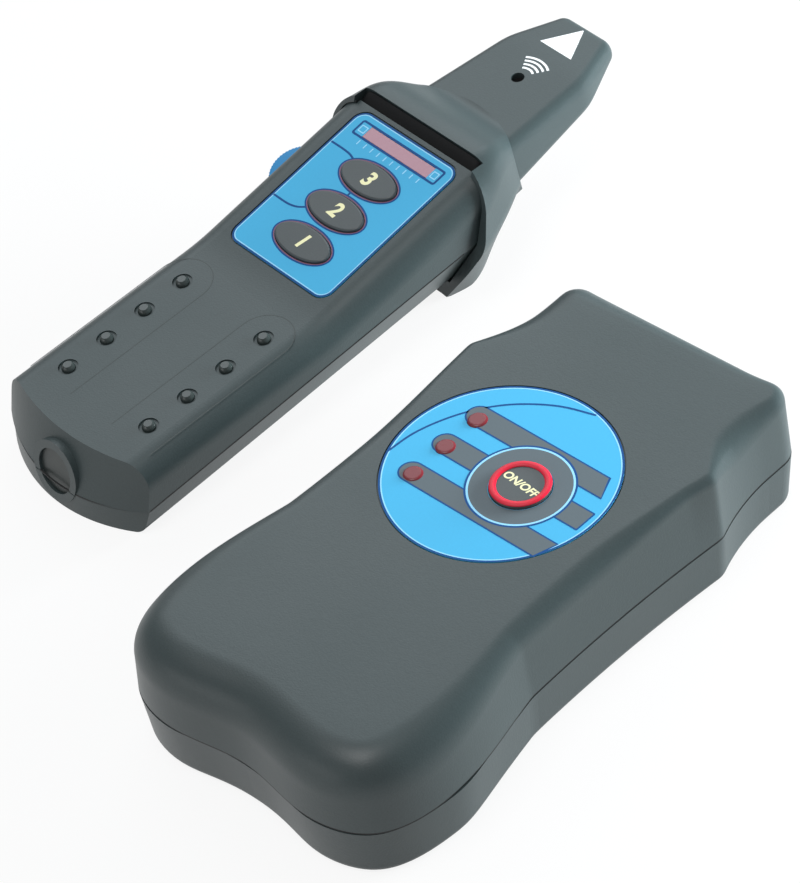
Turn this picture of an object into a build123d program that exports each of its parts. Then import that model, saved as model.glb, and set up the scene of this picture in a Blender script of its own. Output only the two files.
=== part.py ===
from build123d import *
import os
from math import atan2, cos, degrees, hypot, radians, sin, tan

os.makedirs("parts", exist_ok=True)

# Cable locator set, in millimetres. The transmitter lies flat with its long axis on Y and its far end
# at +Y. The receiver lies beside it, nose up a little, because its collar is deeper than its handle.

# Shared sizes
WALL = 2.4
FLOOR = 2.5
SEAM = 0.25
FIT = 0.1
SLIDE_FIT = 0.2
LABEL_THICK = 0.45
LABEL_GAP = 0.4
BOARD_THICK = 1.6
SCREW_R = 1.5
SCREW_HEAD_R = 2.7
SCREW_HEAD_H = 1.8
SCREW_FIT = 0.05
POST_R = 3.4
LIP_H = 1.5
LIP_THICK = 1.2
KEY_TRAVEL = 0.4
KEY_FREE = 0.15
KEY_PROUD = 0.7
FLANGE_OUT = 1.2
FLANGE_THICK = 1.0
SWITCH_SIDE = 6.0
SWITCH_H = 3.5
PLUNGER_R = 1.75
PLUNGER_H = 1.2
CONTACT_THICK = 0.4
CONTACT_GAP = 3.0
SPRING_WIRE_R = 0.45
RIB = 1.4
DOOR_THICK = 1.6
DOOR_GAP = 0.25
TONGUE_THICK = 0.8
TONGUE_REACH = 1.8

# Transmitter casing, as seen from above
TX_LENGTH = 150.0
TX_HEIGHT = 33.0
TX_PARTING = 14.0
TX_TOP_ROUND = 6.0
TX_TOP_DRAFT = 2.2
TX_FOOT_DRAFT = 1.2
TX_FOOT_ROUND = 2.0
TX_NOTCH_DEPTH = 2.5
TX_LOBE_X = 23.5
TX_LOBE_HALF = 42.7
TX_LOBE_FROM_END = 21.5
TX_LOBE_CORNER = 5.6
TX_WAIST_HALF = 36.7
TX_WAIST_FROM_END = 83.0
TX_CREASE_HALF = 37.1
TX_CREASE_FROM_END = 55.5
TX_CREASE_ROUND = 20.0
TX_SHOULDER_HALF = 38.6
TX_SHOULDER_TO_END = 32.6
TX_SHOULDER_ROUND = 6.5
TX_END_HALF = 34.4
TX_END_STRAIGHT = 12.0
TX_END_CORNER = 6.5

# Transmitter front panel
TX_LABEL_R = 27.8
TX_LABEL_X = -1.5
TX_LABEL_Y = 14.8
TX_KEY_R = 7.2
TX_KEY_X = 5.0
TX_KEY_Y = 14.3
TX_LAMP_R = 2.5
TX_LAMP_X = -17.3
TX_LAMP_Y = 13.3
TX_LAMP_PITCH = 10.7
TX_LAMP_RIM = 0.5
TX_LAMP_RIM_H = 1.0
TX_LAMP_PROUD = 0.4

# Transmitter inside
TX_BOARD_DEPTH = 11.0
TX_BOARD_HALF = 29.0
TX_BOARD_Y0 = -9.0
TX_BOARD_Y1 = 52.0
TX_BOARD_POST_INSET = 4.5
TX_POST_NEAR_X = 35.6
TX_POST_NEAR_Y = 25.0
TX_POST_FAR_X = 27.0
TX_POST_FAR_Y = 12.0
TX_CELL_R = 7.25
TX_CELL_LENGTH = 50.5
TX_CELL_BUTTON_R = 2.7
TX_CELL_BUTTON_H = 1.4
TX_CELL_COUNT = 4
TX_CELL_GAP = 0.6
TX_CELL_FROM_END = 10.4
TX_CORE_X = 26.0
TX_CORE_Y = 20.0
TX_CORE_H = 4.5
TX_COIL_X = 18.0
TX_COIL_Y = 26.0
TX_COIL_H = 9.0
TX_COIL_AT_Y = 22.0
TX_SOCKET_SPACING = 19.0
TX_SOCKET_BORE_R = 2.02
TX_SOCKET_DEPTH = 15.0
TX_SOCKET_BARREL_R = 4.0
TX_SOCKET_FLANGE_R = 5.5
TX_SOCKET_FLANGE_H = 1.6
TX_SOCKET_LENGTH = 18.0
TX_SOCKET_SET = 2.0
TX_SOCKET_ROOM = 0.2
TX_PLINTH_SIDE = 2.0
TX_PLINTH_IN = 4.0
TX_NUT_AF_R = 5.5
TX_NUT_H = 2.6

# Receiver casing, measured from the tail along the parting plane
RX_AT = (-105.3, -33.1)
RX_YAW = -4.55
RX_PITCH = 6.2
RX_HALF = 26.0
RX_TAIL_DROP = 8.4
RX_TAIL_TOP_SET = 7.0
RX_TAIL_TOP_DROP = 5.5
RX_TAIL_FOOT_SET = -1.0
RX_TAIL_FOOT_DROP = 7.0
RX_TOP_AT_TAIL = 12.1
RX_TOP_AT_BEND = 9.2
RX_BEND_Y = 69.0
RX_BEND_R = 60.0
RX_BODY_END = 124.5
RX_SOLE_END = 116.5
RX_DECK_RISE = 5.9
RX_EDGE_ROUND = 6.5
RX_FOOT_AT_TAIL = 6.2
RX_FOOT_AT_END = 13.3
RX_FOOT_HALF_TAIL = 24.3
RX_FOOT_HALF_END = 18.2
RX_FOOT_ROUND = 2.5

# Receiver panel, measured on the sloping deck from the label's near edge
RX_LABEL_Y = 73.7
RX_LABEL_W = 35.6
RX_LABEL_L = 46.9
RX_LABEL_R = 3.5
RX_KEY_HALF_X = 9.1
RX_KEY_HALF_Y = 4.4
RX_KEY_X = 0.3
RX_KEY_FIRST = 9.4
RX_KEY_PITCH = 11.3
RX_WINDOW_HALF = 14.3
RX_WINDOW_Y = 42.4
RX_WINDOW_W = 3.4
RX_WINDOW_DEEP = 1.6
RX_BAR_HALF = 12.6
RX_BAR_W = 3.4
RX_STUD_X = 15.1
RX_STUD_FIRST = 21.0
RX_STUD_PITCH = 12.0
RX_STUD_COUNT = 4
RX_STUD_R = 1.75
RX_STUD_PROUD = 0.9
RX_STUD_DISH_R = 2.5
RX_STUD_DISH = 0.5
RX_STUD_SHANK_R = 1.2

# Receiver collar and nose
RX_RIM_TOP_Y = 121.6
RX_RIM_FOOT_Y = 106.9
RX_COLLAR_TOP = 17.2
RX_COLLAR_FOOT = 15.8
RX_COLLAR_WALL = 1.2
RX_COLLAR_HALF = RX_HALF + RX_COLLAR_WALL
RX_COLLAR_ROUND = 9.5
RX_COLLAR_BILGE = 0.8
RX_COLLAR_FOOT_WALL = 1.0
RX_COLLAR_FOOT_HALF = RX_FOOT_HALF_END + RX_COLLAR_FOOT_WALL
RX_COLLAR_SIDE_ROUND = 8.0
RX_COLLAR_KEEL_ROUND = 3.0
RX_COLLAR_CLEAR = 0.35
RX_REST_Y = 112.5
RX_REST_Z = -14.4
RX_REST_R = 4.0
RX_REST_HALF = 9.0
RX_TONGUE_STEP = 5.4
RX_TONGUE_HALF = RX_HALF - RX_TONGUE_STEP
RX_TONGUE_WALL = 1.2
RX_TONGUE_SET = 0.4
RX_GROOVE_WIDE = 2.6
RX_GROOVE_DEEP = 1.6
RX_GROOVE_OVER = 0.7
RX_GROOVE_HALF = RX_TONGUE_HALF + RX_GROOVE_OVER
RX_NECK_Y = 141.0
RX_NECK_BOW = 34.0
RX_NECK_HALF = 17.6
RX_NECK_TOP = 9.8
RX_NECK_FOOT = 5.2
RX_NECK_ROUND = 4.0
RX_SPIGOT_HALF = 13.0
RX_SPIGOT_TOP = 7.0
RX_SPIGOT_FOOT = 0.6
RX_SPIGOT_LENGTH = 5.0
RX_TIP_Y = 178.0
RX_TAPER_Y = 163.5
RX_NOSE_HALF = 16.6
RX_NOSE_HALF_TAPER = 14.7
RX_NOSE_HALF_TIP = 8.8
RX_NOSE_TOP = 9.2
RX_NOSE_TOP_TAPER = 7.7
RX_NOSE_TOP_TIP = 6.2
RX_NOSE_FOOT = 4.4
RX_NOSE_FOOT_TAPER = 2.2
RX_NOSE_FOOT_TIP = -0.3
RX_NOSE_ROUND = 3.0
RX_NOSE_WALL = 1.8
RX_NOSE_BACK = 131.0
RX_SOUND_Y = 153.7
RX_SOUND_R = 1.7

# Receiver tail ring, wheel and inside
RX_RING_R = 8.0
RX_RING_Y = 1.2
RX_RING_Z = 2.7
RX_RING_TILT = 18.0
RX_RING_DEEP = 7.4
RX_PLUG_R = 5.8
RX_PLUG_SET = 0.8
RX_PLUG_LENGTH = 4.6
RX_PLUG_HEAD_R = 6.5
RX_WHEEL_R = 8.0
RX_WHEEL_PROUD = 3.0
RX_WHEEL_Y = 26.0
RX_WHEEL_TOP = 4.2
RX_WHEEL_THICK = 4.4
RX_WHEEL_GAP = 0.35
RX_POT_SIDE = 9.5
RX_SHAFT_R = 1.5
RX_SHAFT_FIT = 0.05
RX_BOARD_DEPTH = 10.8
RX_BOARD_SIDE = 7.0
RX_BOARD_Y0 = 5.4
RX_BOARD_Y1 = 44.4
RX_BOARD_POST_SIDE = 3.1
RX_BOARD_POST_NEAR = 3.6
RX_BOARD_POST_FAR = 8.2
RX_POST_NEAR_X = 19.8
RX_POST_NEAR_Y = 10.9
RX_POST_FAR_X = 13.0
RX_POST_FAR_Y = 75.2
RX_CELL_R = 5.25
RX_CELL_LENGTH = 44.5
RX_CELL_BUTTON_R = 1.9
RX_CELL_BUTTON_H = 0.8
RX_CELL_COUNT = 3
RX_CELL_GAP = 0.5
RX_CELL_START = 15.0
RX_DOOR_STEP = 0.7
RX_BUZZER_R = 6.0
RX_BUZZER_H = 2.5
RX_CORE_R = 1.6
RX_CORE_LENGTH = 15.0
RX_WINDING_R = 2.1
RX_WINDING_LENGTH = 11.0


def rod(x, y, z0, z1, r):
    return Pos(x, y, (z0 + z1) / 2) * Cylinder(r, z1 - z0)


def rod_y(x, z, y0, y1, r):
    return Pos(x, (y0 + y1) / 2, z) * Rot(90, 0, 0) * Cylinder(r, y1 - y0)


def block(x0, x1, y0, y1, z0, z1):
    return Pos((x0 + x1) / 2, (y0 + y1) / 2, (z0 + z1) / 2) * Box(x1 - x0, y1 - y0, z1 - z0)


def save(node, shapes, place=Pos(0, 0, 0)):
    solids = []
    for shape in shapes:
        for solid in shape.solids():
            solids.append(place * solid)
    export_step(Compound(children=solids) if len(solids) > 1 else solids[0], f"parts/{node}.step")


# Transmitter

NEAR = -TX_LENGTH / 2
FAR = TX_LENGTH / 2
TX_LABEL_Z = TX_HEIGHT - LABEL_THICK
TX_ROOF = TX_HEIGHT - FLOOR
TX_BOARD_Z = TX_HEIGHT - TX_BOARD_DEPTH
TX_LAMP_SPOTS = [(TX_LAMP_X, TX_LAMP_Y + k * TX_LAMP_PITCH) for k in (1, 0, -1)]
TX_POSTS = [
    (-TX_POST_NEAR_X, NEAR + TX_POST_NEAR_Y),
    (TX_POST_NEAR_X, NEAR + TX_POST_NEAR_Y),
    (-TX_POST_FAR_X, FAR - TX_POST_FAR_Y),
    (TX_POST_FAR_X, FAR - TX_POST_FAR_Y),
]
TX_SOCKET_BACK = FAR - WALL - TX_PLINTH_IN
TX_SOCKET_MOUTH = FAR - TX_SOCKET_SET
TX_SOCKET_Z = TX_PARTING + LIP_H + TX_SOCKET_FLANGE_R + TX_SOCKET_ROOM
TX_SOCKET_SPOTS = [-TX_SOCKET_SPACING / 2, TX_SOCKET_SPACING / 2]


def tx_plan(inset):
    """Hourglass outline: two rounded near lobes, creased waist, shoulder and a narrower far end."""
    near = NEAR + inset
    far = FAR - inset
    crease = (TX_CREASE_HALF - inset, NEAR + TX_CREASE_FROM_END)
    waist = (TX_WAIST_HALF - inset, NEAR + TX_WAIST_FROM_END)
    shoulder = (TX_SHOULDER_HALF - inset, FAR - TX_SHOULDER_TO_END)
    end_start = (TX_END_HALF - inset, FAR - TX_END_STRAIGHT)
    lobe_side = (TX_LOBE_HALF - inset, NEAR + TX_LOBE_FROM_END)
    lobe_corner = (TX_LOBE_HALF - TX_LOBE_CORNER - 0.75 * inset, NEAR + TX_LOBE_CORNER + 0.66 * inset)
    notch = (0, near + TX_NOTCH_DEPTH)
    lobe = Spline(notch, (TX_LOBE_X, near), lobe_corner, lobe_side, crease, tangents=[(1, 0), (-0.2, 1)])
    side = ThreePointArc(crease, waist, shoulder)
    hollow_x = end_start[0] + (shoulder[0] - end_start[0]) / 4
    hollow = ThreePointArc(shoulder, (hollow_x, (shoulder[1] + end_start[1]) / 2), end_start)
    half = [lobe, side, hollow, Line(end_start, (end_start[0], far)), Line((end_start[0], far), (0, far))]
    plan = make_face(half + [mirror(edge, Plane.YZ) for edge in half])
    rounds = [
        (crease, TX_CREASE_ROUND),
        (shoulder, TX_SHOULDER_ROUND),
        ((end_start[0], far), TX_END_CORNER),
    ]
    for spot, r in rounds:
        ends = [v for v in plan.vertices() if hypot(abs(v.X) - spot[0], v.Y - spot[1]) < 0.05]
        plan = fillet(ends, r)
    return plan


def tx_ring(outer_in, inner_in, z0, z1):
    ring = tx_plan(outer_in) - tx_plan(inner_in)
    return Pos(0, 0, z0) * extrude(ring, z1 - z0)


def top_edges(solid, z):
    """Edges that lie wholly at height z."""
    boxes = [(e, e.bounding_box()) for e in solid.edges()]
    return [e for e, box in boxes if abs(box.min.Z - z) < 1e-3 and abs(box.max.Z - z) < 1e-3]


def tx_top_shell():
    rim = Pos(0, 0, TX_PARTING) * tx_plan(0)
    body = loft([rim, Pos(0, 0, TX_HEIGHT) * tx_plan(TX_TOP_DRAFT)], ruled=True)
    body = fillet(top_edges(body, TX_HEIGHT), TX_TOP_ROUND)
    rim = Pos(0, 0, TX_PARTING) * tx_plan(WALL)
    room = loft([rim, Pos(0, 0, TX_ROOF) * tx_plan(WALL + TX_TOP_DRAFT)], ruled=True)
    room = fillet(top_edges(room, TX_ROOF), TX_TOP_ROUND - WALL)
    shell = body - room
    for x, y in TX_POSTS:
        shell += rod(x, y, TX_PARTING, TX_ROOF + 0.5, POST_R) & body
    for x, y in tx_board_spots():
        shell += rod(x, y, TX_BOARD_Z + BOARD_THICK, TX_ROOF + 0.5, POST_R - 0.6)
    for x, y in TX_POSTS:
        shell -= rod(x, y, TX_PARTING - 1, TX_PARTING + 9, SCREW_R + SCREW_FIT)
    for x, y in tx_board_spots():
        shell -= rod(x, y, TX_BOARD_Z, TX_BOARD_Z + BOARD_THICK + 5, SCREW_R + SCREW_FIT)
    shell -= rod(TX_LABEL_X, TX_LABEL_Y, TX_LABEL_Z, TX_HEIGHT + 1, TX_LABEL_R + LABEL_GAP)
    shell -= rod(TX_KEY_X, TX_KEY_Y, TX_ROOF - 1, TX_HEIGHT, TX_KEY_R + SLIDE_FIT)
    for x, y in TX_LAMP_SPOTS:
        shell -= rod(x, y, TX_ROOF - 1, TX_HEIGHT, TX_LAMP_R + FIT)
    high = TX_SOCKET_FLANGE_R + TX_SOCKET_ROOM
    wide = TX_SOCKET_SPACING / 2 + TX_SOCKET_FLANGE_R + TX_PLINTH_SIDE
    plinth = block(-wide, wide, TX_SOCKET_BACK, FAR, TX_SOCKET_Z - high, TX_SOCKET_Z + high)
    shell += plinth & body
    for x in TX_SOCKET_SPOTS:
        pocket_end = TX_SOCKET_MOUTH - TX_SOCKET_FLANGE_H
        shell -= rod_y(x, TX_SOCKET_Z, pocket_end, FAR + 1, TX_SOCKET_FLANGE_R + FIT)
        shell -= rod_y(x, TX_SOCKET_Z, TX_SOCKET_BACK - 1, FAR + 1, TX_SOCKET_BARREL_R + FIT)
    return shell


def tx_cell_row():
    pitch = 2 * TX_CELL_R + TX_CELL_GAP
    return [(k - (TX_CELL_COUNT - 1) / 2) * pitch for k in range(TX_CELL_COUNT)]


TX_CELL_Y0 = NEAR + TX_CELL_FROM_END
TX_CELL_Y1 = TX_CELL_Y0 + TX_CELL_LENGTH
TX_CELL_Z = FLOOR + TX_CELL_R + 0.3
TX_DOOR_HALF = (TX_CELL_COUNT * (2 * TX_CELL_R + TX_CELL_GAP)) / 2
TX_DOOR_Y0 = TX_CELL_Y0
TX_DOOR_Y1 = TX_CELL_Y1 + CONTACT_GAP + 9.0
TX_DOOR_SCREWS = [(sx * TX_DOOR_HALF * 0.6, TX_DOOR_Y1 - 4.4) for sx in (-1, 1)]
TX_DIVIDER_Y = TX_CELL_Y1 + CONTACT_GAP + CONTACT_THICK
TX_NEAR_RIB_Y = TX_CELL_Y0 - CONTACT_GAP - CONTACT_THICK


def tx_bottom_shell():
    body = loft([tx_plan(TX_FOOT_DRAFT), Pos(0, 0, TX_PARTING - SEAM) * tx_plan(0)], ruled=True)
    body = fillet(top_edges(body, 0), TX_FOOT_ROUND)
    floor = Pos(0, 0, FLOOR) * tx_plan(WALL + TX_FOOT_DRAFT)
    shell = body - loft([floor, Pos(0, 0, TX_PARTING) * tx_plan(WALL)], ruled=True)
    shell += tx_ring(WALL - 0.6, WALL + LIP_THICK, TX_PARTING - 4, TX_PARTING - SEAM)
    shell += tx_ring(WALL + FIT, WALL + LIP_THICK, TX_PARTING - SEAM - 0.5, TX_PARTING + LIP_H)
    for x, y in TX_POSTS:
        shell -= rod(x, y, TX_PARTING, TX_PARTING + LIP_H + 1, POST_R + FIT)
        shell += rod(x, y, FLOOR - 0.5, TX_PARTING, POST_R)
    for x, y in TX_DOOR_SCREWS:
        shell += rod(x, y, FLOOR - 0.5, FLOOR + 8, POST_R)
    for y in (TX_NEAR_RIB_Y - RIB, TX_DIVIDER_Y):
        shell += block(-TX_DOOR_HALF, TX_DOOR_HALF, y, y + RIB, FLOOR - 0.5, TX_CELL_Z + 4)
    for x, y in TX_POSTS:
        shell -= rod(x, y, -1, TX_PARTING + 1, SCREW_R + SCREW_FIT)
        shell -= rod(x, y, -1, FLOOR + SCREW_HEAD_H, SCREW_HEAD_R + FIT)
    deep = TX_DOOR_Y1 + DOOR_GAP
    shell -= block(-TX_DOOR_HALF - 2, TX_DOOR_HALF + 2, TX_DOOR_Y0 - DOOR_GAP, deep, -1, DOOR_THICK)
    shell -= block(-TX_DOOR_HALF, TX_DOOR_HALF, TX_DOOR_Y0 - DOOR_GAP, TX_CELL_Y1, -1, FLOOR + 1)
    tongue_half = TX_DOOR_HALF - 4 + DOOR_GAP
    groove = TX_DOOR_Y0 - DOOR_GAP - TONGUE_REACH
    tongue_z = DOOR_THICK - TONGUE_THICK - FIT
    shell -= block(-tongue_half, tongue_half, groove, TX_DOOR_Y0, tongue_z, DOOR_THICK)
    for x, y in TX_DOOR_SCREWS:
        shell -= rod(x, y, -1, FLOOR + 7, SCREW_R + SCREW_FIT)
    return shell


def tx_battery_door():
    half = TX_DOOR_HALF + 2 - DOOR_GAP
    door = block(-half, half, TX_DOOR_Y0, TX_DOOR_Y1, 0.1, DOOR_THICK)
    tongue_half = TX_DOOR_HALF - 4
    reach = TX_DOOR_Y0 - TONGUE_REACH
    door += block(-tongue_half, tongue_half, reach, TX_DOOR_Y0 + 1, DOOR_THICK - TONGUE_THICK, DOOR_THICK)
    for x, y in TX_DOOR_SCREWS:
        door -= rod(x, y, -1, DOOR_THICK + 1, SCREW_R + SCREW_FIT)
        door -= Pos(x, y, 0.1 + 0.5) * Cone(SCREW_HEAD_R + FIT, SCREW_R + SCREW_FIT, 1.0)
    return door


def tx_door_screw(x, y):
    head = Pos(x, y, 0.1 + 0.5) * Cone(SCREW_HEAD_R, SCREW_R, 1.0)
    screw = head + rod(x, y, 1.0, FLOOR + 6, SCREW_R)
    return screw - block(x - 2, x + 2, y - 0.35, y + 0.35, -0.5, 0.6)


def pan_screw(x, y, head_z, length):
    low = head_z - SCREW_HEAD_H
    screw = rod(x, y, low, head_z, SCREW_HEAD_R) + rod(x, y, head_z - 0.5, head_z + length, SCREW_R)
    slot = block(x - 2, x + 2, y - 0.35, y + 0.35, low - 0.5, low + 0.8)
    cross = block(x - 0.35, x + 0.35, y - 2, y + 2, low - 0.5, low + 0.8)
    return screw - slot - cross


def tx_label():
    label = rod(TX_LABEL_X, TX_LABEL_Y, TX_LABEL_Z, TX_HEIGHT, TX_LABEL_R)
    label -= rod(TX_KEY_X, TX_KEY_Y, TX_LABEL_Z - 1, TX_HEIGHT + 1, TX_KEY_R + SLIDE_FIT)
    for x, y in TX_LAMP_SPOTS:
        label -= rod(x, y, TX_LABEL_Z - 1, TX_HEIGHT + 1, TX_LAMP_R + FIT)
    return label


TX_SWITCH_TOP = TX_BOARD_Z + BOARD_THICK + SWITCH_H + PLUNGER_H


def tx_power_key():
    cap = rod(TX_KEY_X, TX_KEY_Y, TX_ROOF - 1, TX_HEIGHT + KEY_PROUD, TX_KEY_R)
    cap = fillet(top_edges(cap, TX_HEIGHT + KEY_PROUD), 0.5)
    flange_top = TX_ROOF - KEY_FREE
    cap += rod(TX_KEY_X, TX_KEY_Y, flange_top - FLANGE_THICK, flange_top, TX_KEY_R + FLANGE_OUT)
    cap += rod(TX_KEY_X, TX_KEY_Y, TX_SWITCH_TOP + KEY_TRAVEL + KEY_FREE, flange_top, PLUNGER_R + 0.8)
    return cap


def tx_lamp(x, y):
    foot = TX_BOARD_Z + BOARD_THICK
    lamp = rod(x, y, foot, TX_HEIGHT + TX_LAMP_PROUD, TX_LAMP_R)
    lamp = fillet(top_edges(lamp, TX_HEIGHT + TX_LAMP_PROUD), 0.8)
    return lamp + rod(x, y, foot, foot + TX_LAMP_RIM_H, TX_LAMP_R + TX_LAMP_RIM)


def tx_board_spots():
    x = TX_BOARD_HALF - TX_BOARD_POST_INSET
    rows = (TX_BOARD_Y0 + TX_BOARD_POST_INSET, TX_BOARD_Y1 - TX_BOARD_POST_INSET)
    return [(sx * x, y) for sx in (-1, 1) for y in rows]


def tx_board():
    top = TX_BOARD_Z + BOARD_THICK
    board = block(-TX_BOARD_HALF, TX_BOARD_HALF, TX_BOARD_Y0, TX_BOARD_Y1, TX_BOARD_Z, top)
    for x, y in tx_board_spots():
        board -= rod(x, y, TX_BOARD_Z - 1, TX_BOARD_Z + BOARD_THICK + 1, SCREW_R + SCREW_FIT)
    return board


def tact_switch(x, y, z):
    half = SWITCH_SIDE / 2
    case = block(x - half, x + half, y - half, y + half, z, z + SWITCH_H)
    return case + rod(x, y, z, z + SWITCH_H + PLUNGER_H, PLUNGER_R)


def tx_coil_core():
    core = block(-TX_CORE_X / 2, TX_CORE_X / 2, 0, TX_CORE_Y, -TX_COIL_H, 0)
    side = TX_COIL_X / 2 + FIT
    core -= block(-side, -TX_CORE_H, -1, TX_CORE_Y + 1, -TX_COIL_H + 2, 0)
    core -= block(TX_CORE_H, side, -1, TX_CORE_Y + 1, -TX_COIL_H + 2, 0)
    return Pos(0, TX_COIL_AT_Y - TX_CORE_Y / 2, TX_BOARD_Z) * core


def tx_coil_winding():
    outer = block(-TX_COIL_X / 2, TX_COIL_X / 2, 0, TX_COIL_Y, -TX_COIL_H + 2 + FIT, 0)
    inner = block(-TX_CORE_H - FIT, TX_CORE_H + FIT, 3 - FIT, TX_COIL_Y - 3 + FIT, -TX_COIL_H, 1)
    return Pos(0, TX_COIL_AT_Y - TX_COIL_Y / 2, TX_BOARD_Z) * (outer - inner)


def tx_socket(x):
    z = TX_SOCKET_Z
    mouth = TX_SOCKET_MOUTH
    body = rod_y(x, z, mouth - TX_SOCKET_LENGTH, mouth, TX_SOCKET_BARREL_R)
    body += rod_y(x, z, mouth - TX_SOCKET_FLANGE_H, mouth, TX_SOCKET_FLANGE_R)
    return body - rod_y(x, z, mouth - TX_SOCKET_DEPTH, mouth + 1, TX_SOCKET_BORE_R)


def tx_socket_nut(x):
    hole = Cylinder(TX_SOCKET_BARREL_R + SCREW_FIT, 4 * TX_NUT_H)
    nut = extrude(RegularPolygon(TX_NUT_AF_R, 6), TX_NUT_H) - hole
    return Pos(x, TX_SOCKET_BACK, TX_SOCKET_Z) * Rot(90, 0, 0) * nut


def cell(length, r, button_r, button_h):
    """One cell standing on its flat end, with the button on top."""
    can = Pos(0, 0, (length - button_h) / 2) * Cylinder(r, length - button_h)
    can = chamfer(top_edges(can, length - button_h) + top_edges(can, 0), 0.5)
    return can + Pos(0, 0, length - button_h / 2 - 0.25) * Cylinder(button_r, button_h + 0.5)


def tx_cell(k, x):
    turn = Rot(-90, 0, 0) if k % 2 == 0 else Rot(90, 0, 0)
    y = TX_CELL_Y0 if k % 2 == 0 else TX_CELL_Y1
    upright = cell(TX_CELL_LENGTH, TX_CELL_R, TX_CELL_BUTTON_R, TX_CELL_BUTTON_H)
    return Pos(x, y, TX_CELL_Z) * turn * upright


def spring_contact(half, r):
    """Plate on a wall with two rings of a tapering spring, pointing up."""
    plate = block(-half, half, -half, half, 0, CONTACT_THICK)
    reach = CONTACT_THICK + CONTACT_GAP - FIT
    plate += Pos(0, 0, CONTACT_THICK + SPRING_WIRE_R / 2) * Torus(r, SPRING_WIRE_R)
    plate += Pos(0, 0, reach - SPRING_WIRE_R) * Torus(r - 0.9, SPRING_WIRE_R)
    return plate + block(r - 1.2, r, -0.4, 0.4, 0, reach - SPRING_WIRE_R)


def stud_contact(half, r):
    """Plate on a wall with a pressed stud for a cell's button, pointing up."""
    plate = block(-half, half, -half, half, 0, CONTACT_THICK)
    return plate + rod(0, 0, 0, CONTACT_THICK + CONTACT_GAP - FIT, r)


def contact_row(xs, z, y_near, y_far, half, r, stud_r):
    row = []
    for k, x in enumerate(xs):
        near = spring_contact(half, r) if k % 2 == 0 else stud_contact(half, stud_r)
        far = stud_contact(half, stud_r) if k % 2 == 0 else spring_contact(half, r)
        row.append(Pos(x, y_near, z) * Rot(-90, 0, 0) * near)
        row.append(Pos(x, y_far, z) * Rot(90, 0, 0) * far)
    return row


# Receiver

RX_TOP_SLOPE = (RX_TOP_AT_BEND - RX_TOP_AT_TAIL) / (RX_BEND_Y - RX_TAIL_TOP_SET)
RX_FOOT_SLOPE = (RX_FOOT_AT_TAIL - RX_FOOT_AT_END) / (RX_SOLE_END - RX_TAIL_FOOT_SET)
RX_DECK_SLOPE = tan(radians(RX_DECK_RISE))


def deck_z(y):
    return RX_TOP_AT_BEND + (y - RX_BEND_Y) * RX_DECK_SLOPE


def foot_z(y):
    return -RX_FOOT_AT_TAIL + (y - RX_TAIL_FOOT_SET) * RX_FOOT_SLOPE


def top_z(y):
    return RX_TOP_AT_TAIL + (y - RX_TAIL_TOP_SET) * RX_TOP_SLOPE


RX_LIFT = RX_FOOT_AT_TAIL * cos(radians(RX_PITCH)) - RX_TAIL_FOOT_SET * sin(radians(RX_PITCH))
RX = Pos(RX_AT[0], RX_AT[1], RX_LIFT) * Rot(0, 0, RX_YAW) * Rot(RX_PITCH, 0, 0)
DECK = Pos(0, RX_LABEL_Y, deck_z(RX_LABEL_Y)) * Rot(RX_DECK_RISE, 0, 0)
FOOT = Pos(0, RX_TAIL_FOOT_SET, -RX_FOOT_AT_TAIL) * Rot(degrees(atan2(RX_FOOT_SLOPE, 1)), 0, 0)


def rx_outline(half, set_back, drop, half_end, y_end):
    """Tail arc with two sides, closed by a straight front edge."""
    left, right = (-half, set_back + drop), (half, set_back + drop)
    edges = [
        ThreePointArc(left, (0, set_back), right),
        Line(right, (half_end, y_end)),
        Line((half_end, y_end), (-half_end, y_end)),
        Line((-half_end, y_end), left),
    ]
    return make_face(edges)


def rx_upper(grow, edge_round):
    """Upper half of the handle, made larger or smaller all round by grow."""
    end = RX_BODY_END + grow
    bend = Vector(0, RX_BEND_Y, RX_TOP_AT_BEND)
    reach = RX_BEND_R * (atan2(RX_DECK_SLOPE, 1) - atan2(RX_TOP_SLOPE, 1)) / 2
    before = (RX_BEND_Y - reach, top_z(RX_BEND_Y - reach) + grow)
    after = (RX_BEND_Y + reach, deck_z(RX_BEND_Y + reach) + grow)
    sag = reach * (RX_DECK_SLOPE - RX_TOP_SLOPE) / 4
    middle = (RX_BEND_Y, bend.Z + grow + sag)
    start = (-6, top_z(-6) + grow)
    stop = (end, deck_z(end) + grow)
    edges = [
        Line(start, before),
        ThreePointArc(before, middle, after),
        Line(after, stop),
        Line(stop, (end, 0)),
        Line((end, 0), (-6, 0)),
        Line((-6, 0), start),
    ]
    half = RX_HALF + grow
    side = Plane(origin=(-half, 0, 0), x_dir=(0, 1, 0), z_dir=(1, 0, 0))
    prism = extrude(side * make_face(edges), 2 * half)
    rounded = [e for e in prism.edges() if e.center().Z > 5 and abs(abs(e.center().X) - half) < 1e-3]
    rounded = [e for e in rounded if 0 < e.center().Y < end - 1]
    prism = fillet(rounded, edge_round)
    lean = RX_TAIL_TOP_SET / RX_TOP_AT_TAIL
    flat = (RX_TAIL_TOP_DROP - RX_TAIL_DROP) / RX_TOP_AT_TAIL
    high = 2 * RX_TOP_AT_TAIL
    wide = half + 0.5
    low_face = rx_outline(wide, -grow, RX_TAIL_DROP, wide, end + 5)
    high_drop = RX_TAIL_DROP + flat * high
    high_face = Pos(0, 0, high) * rx_outline(wide, lean * high - grow, high_drop, wide, end + 5)
    return prism & loft([low_face, high_face], ruled=True)


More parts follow.
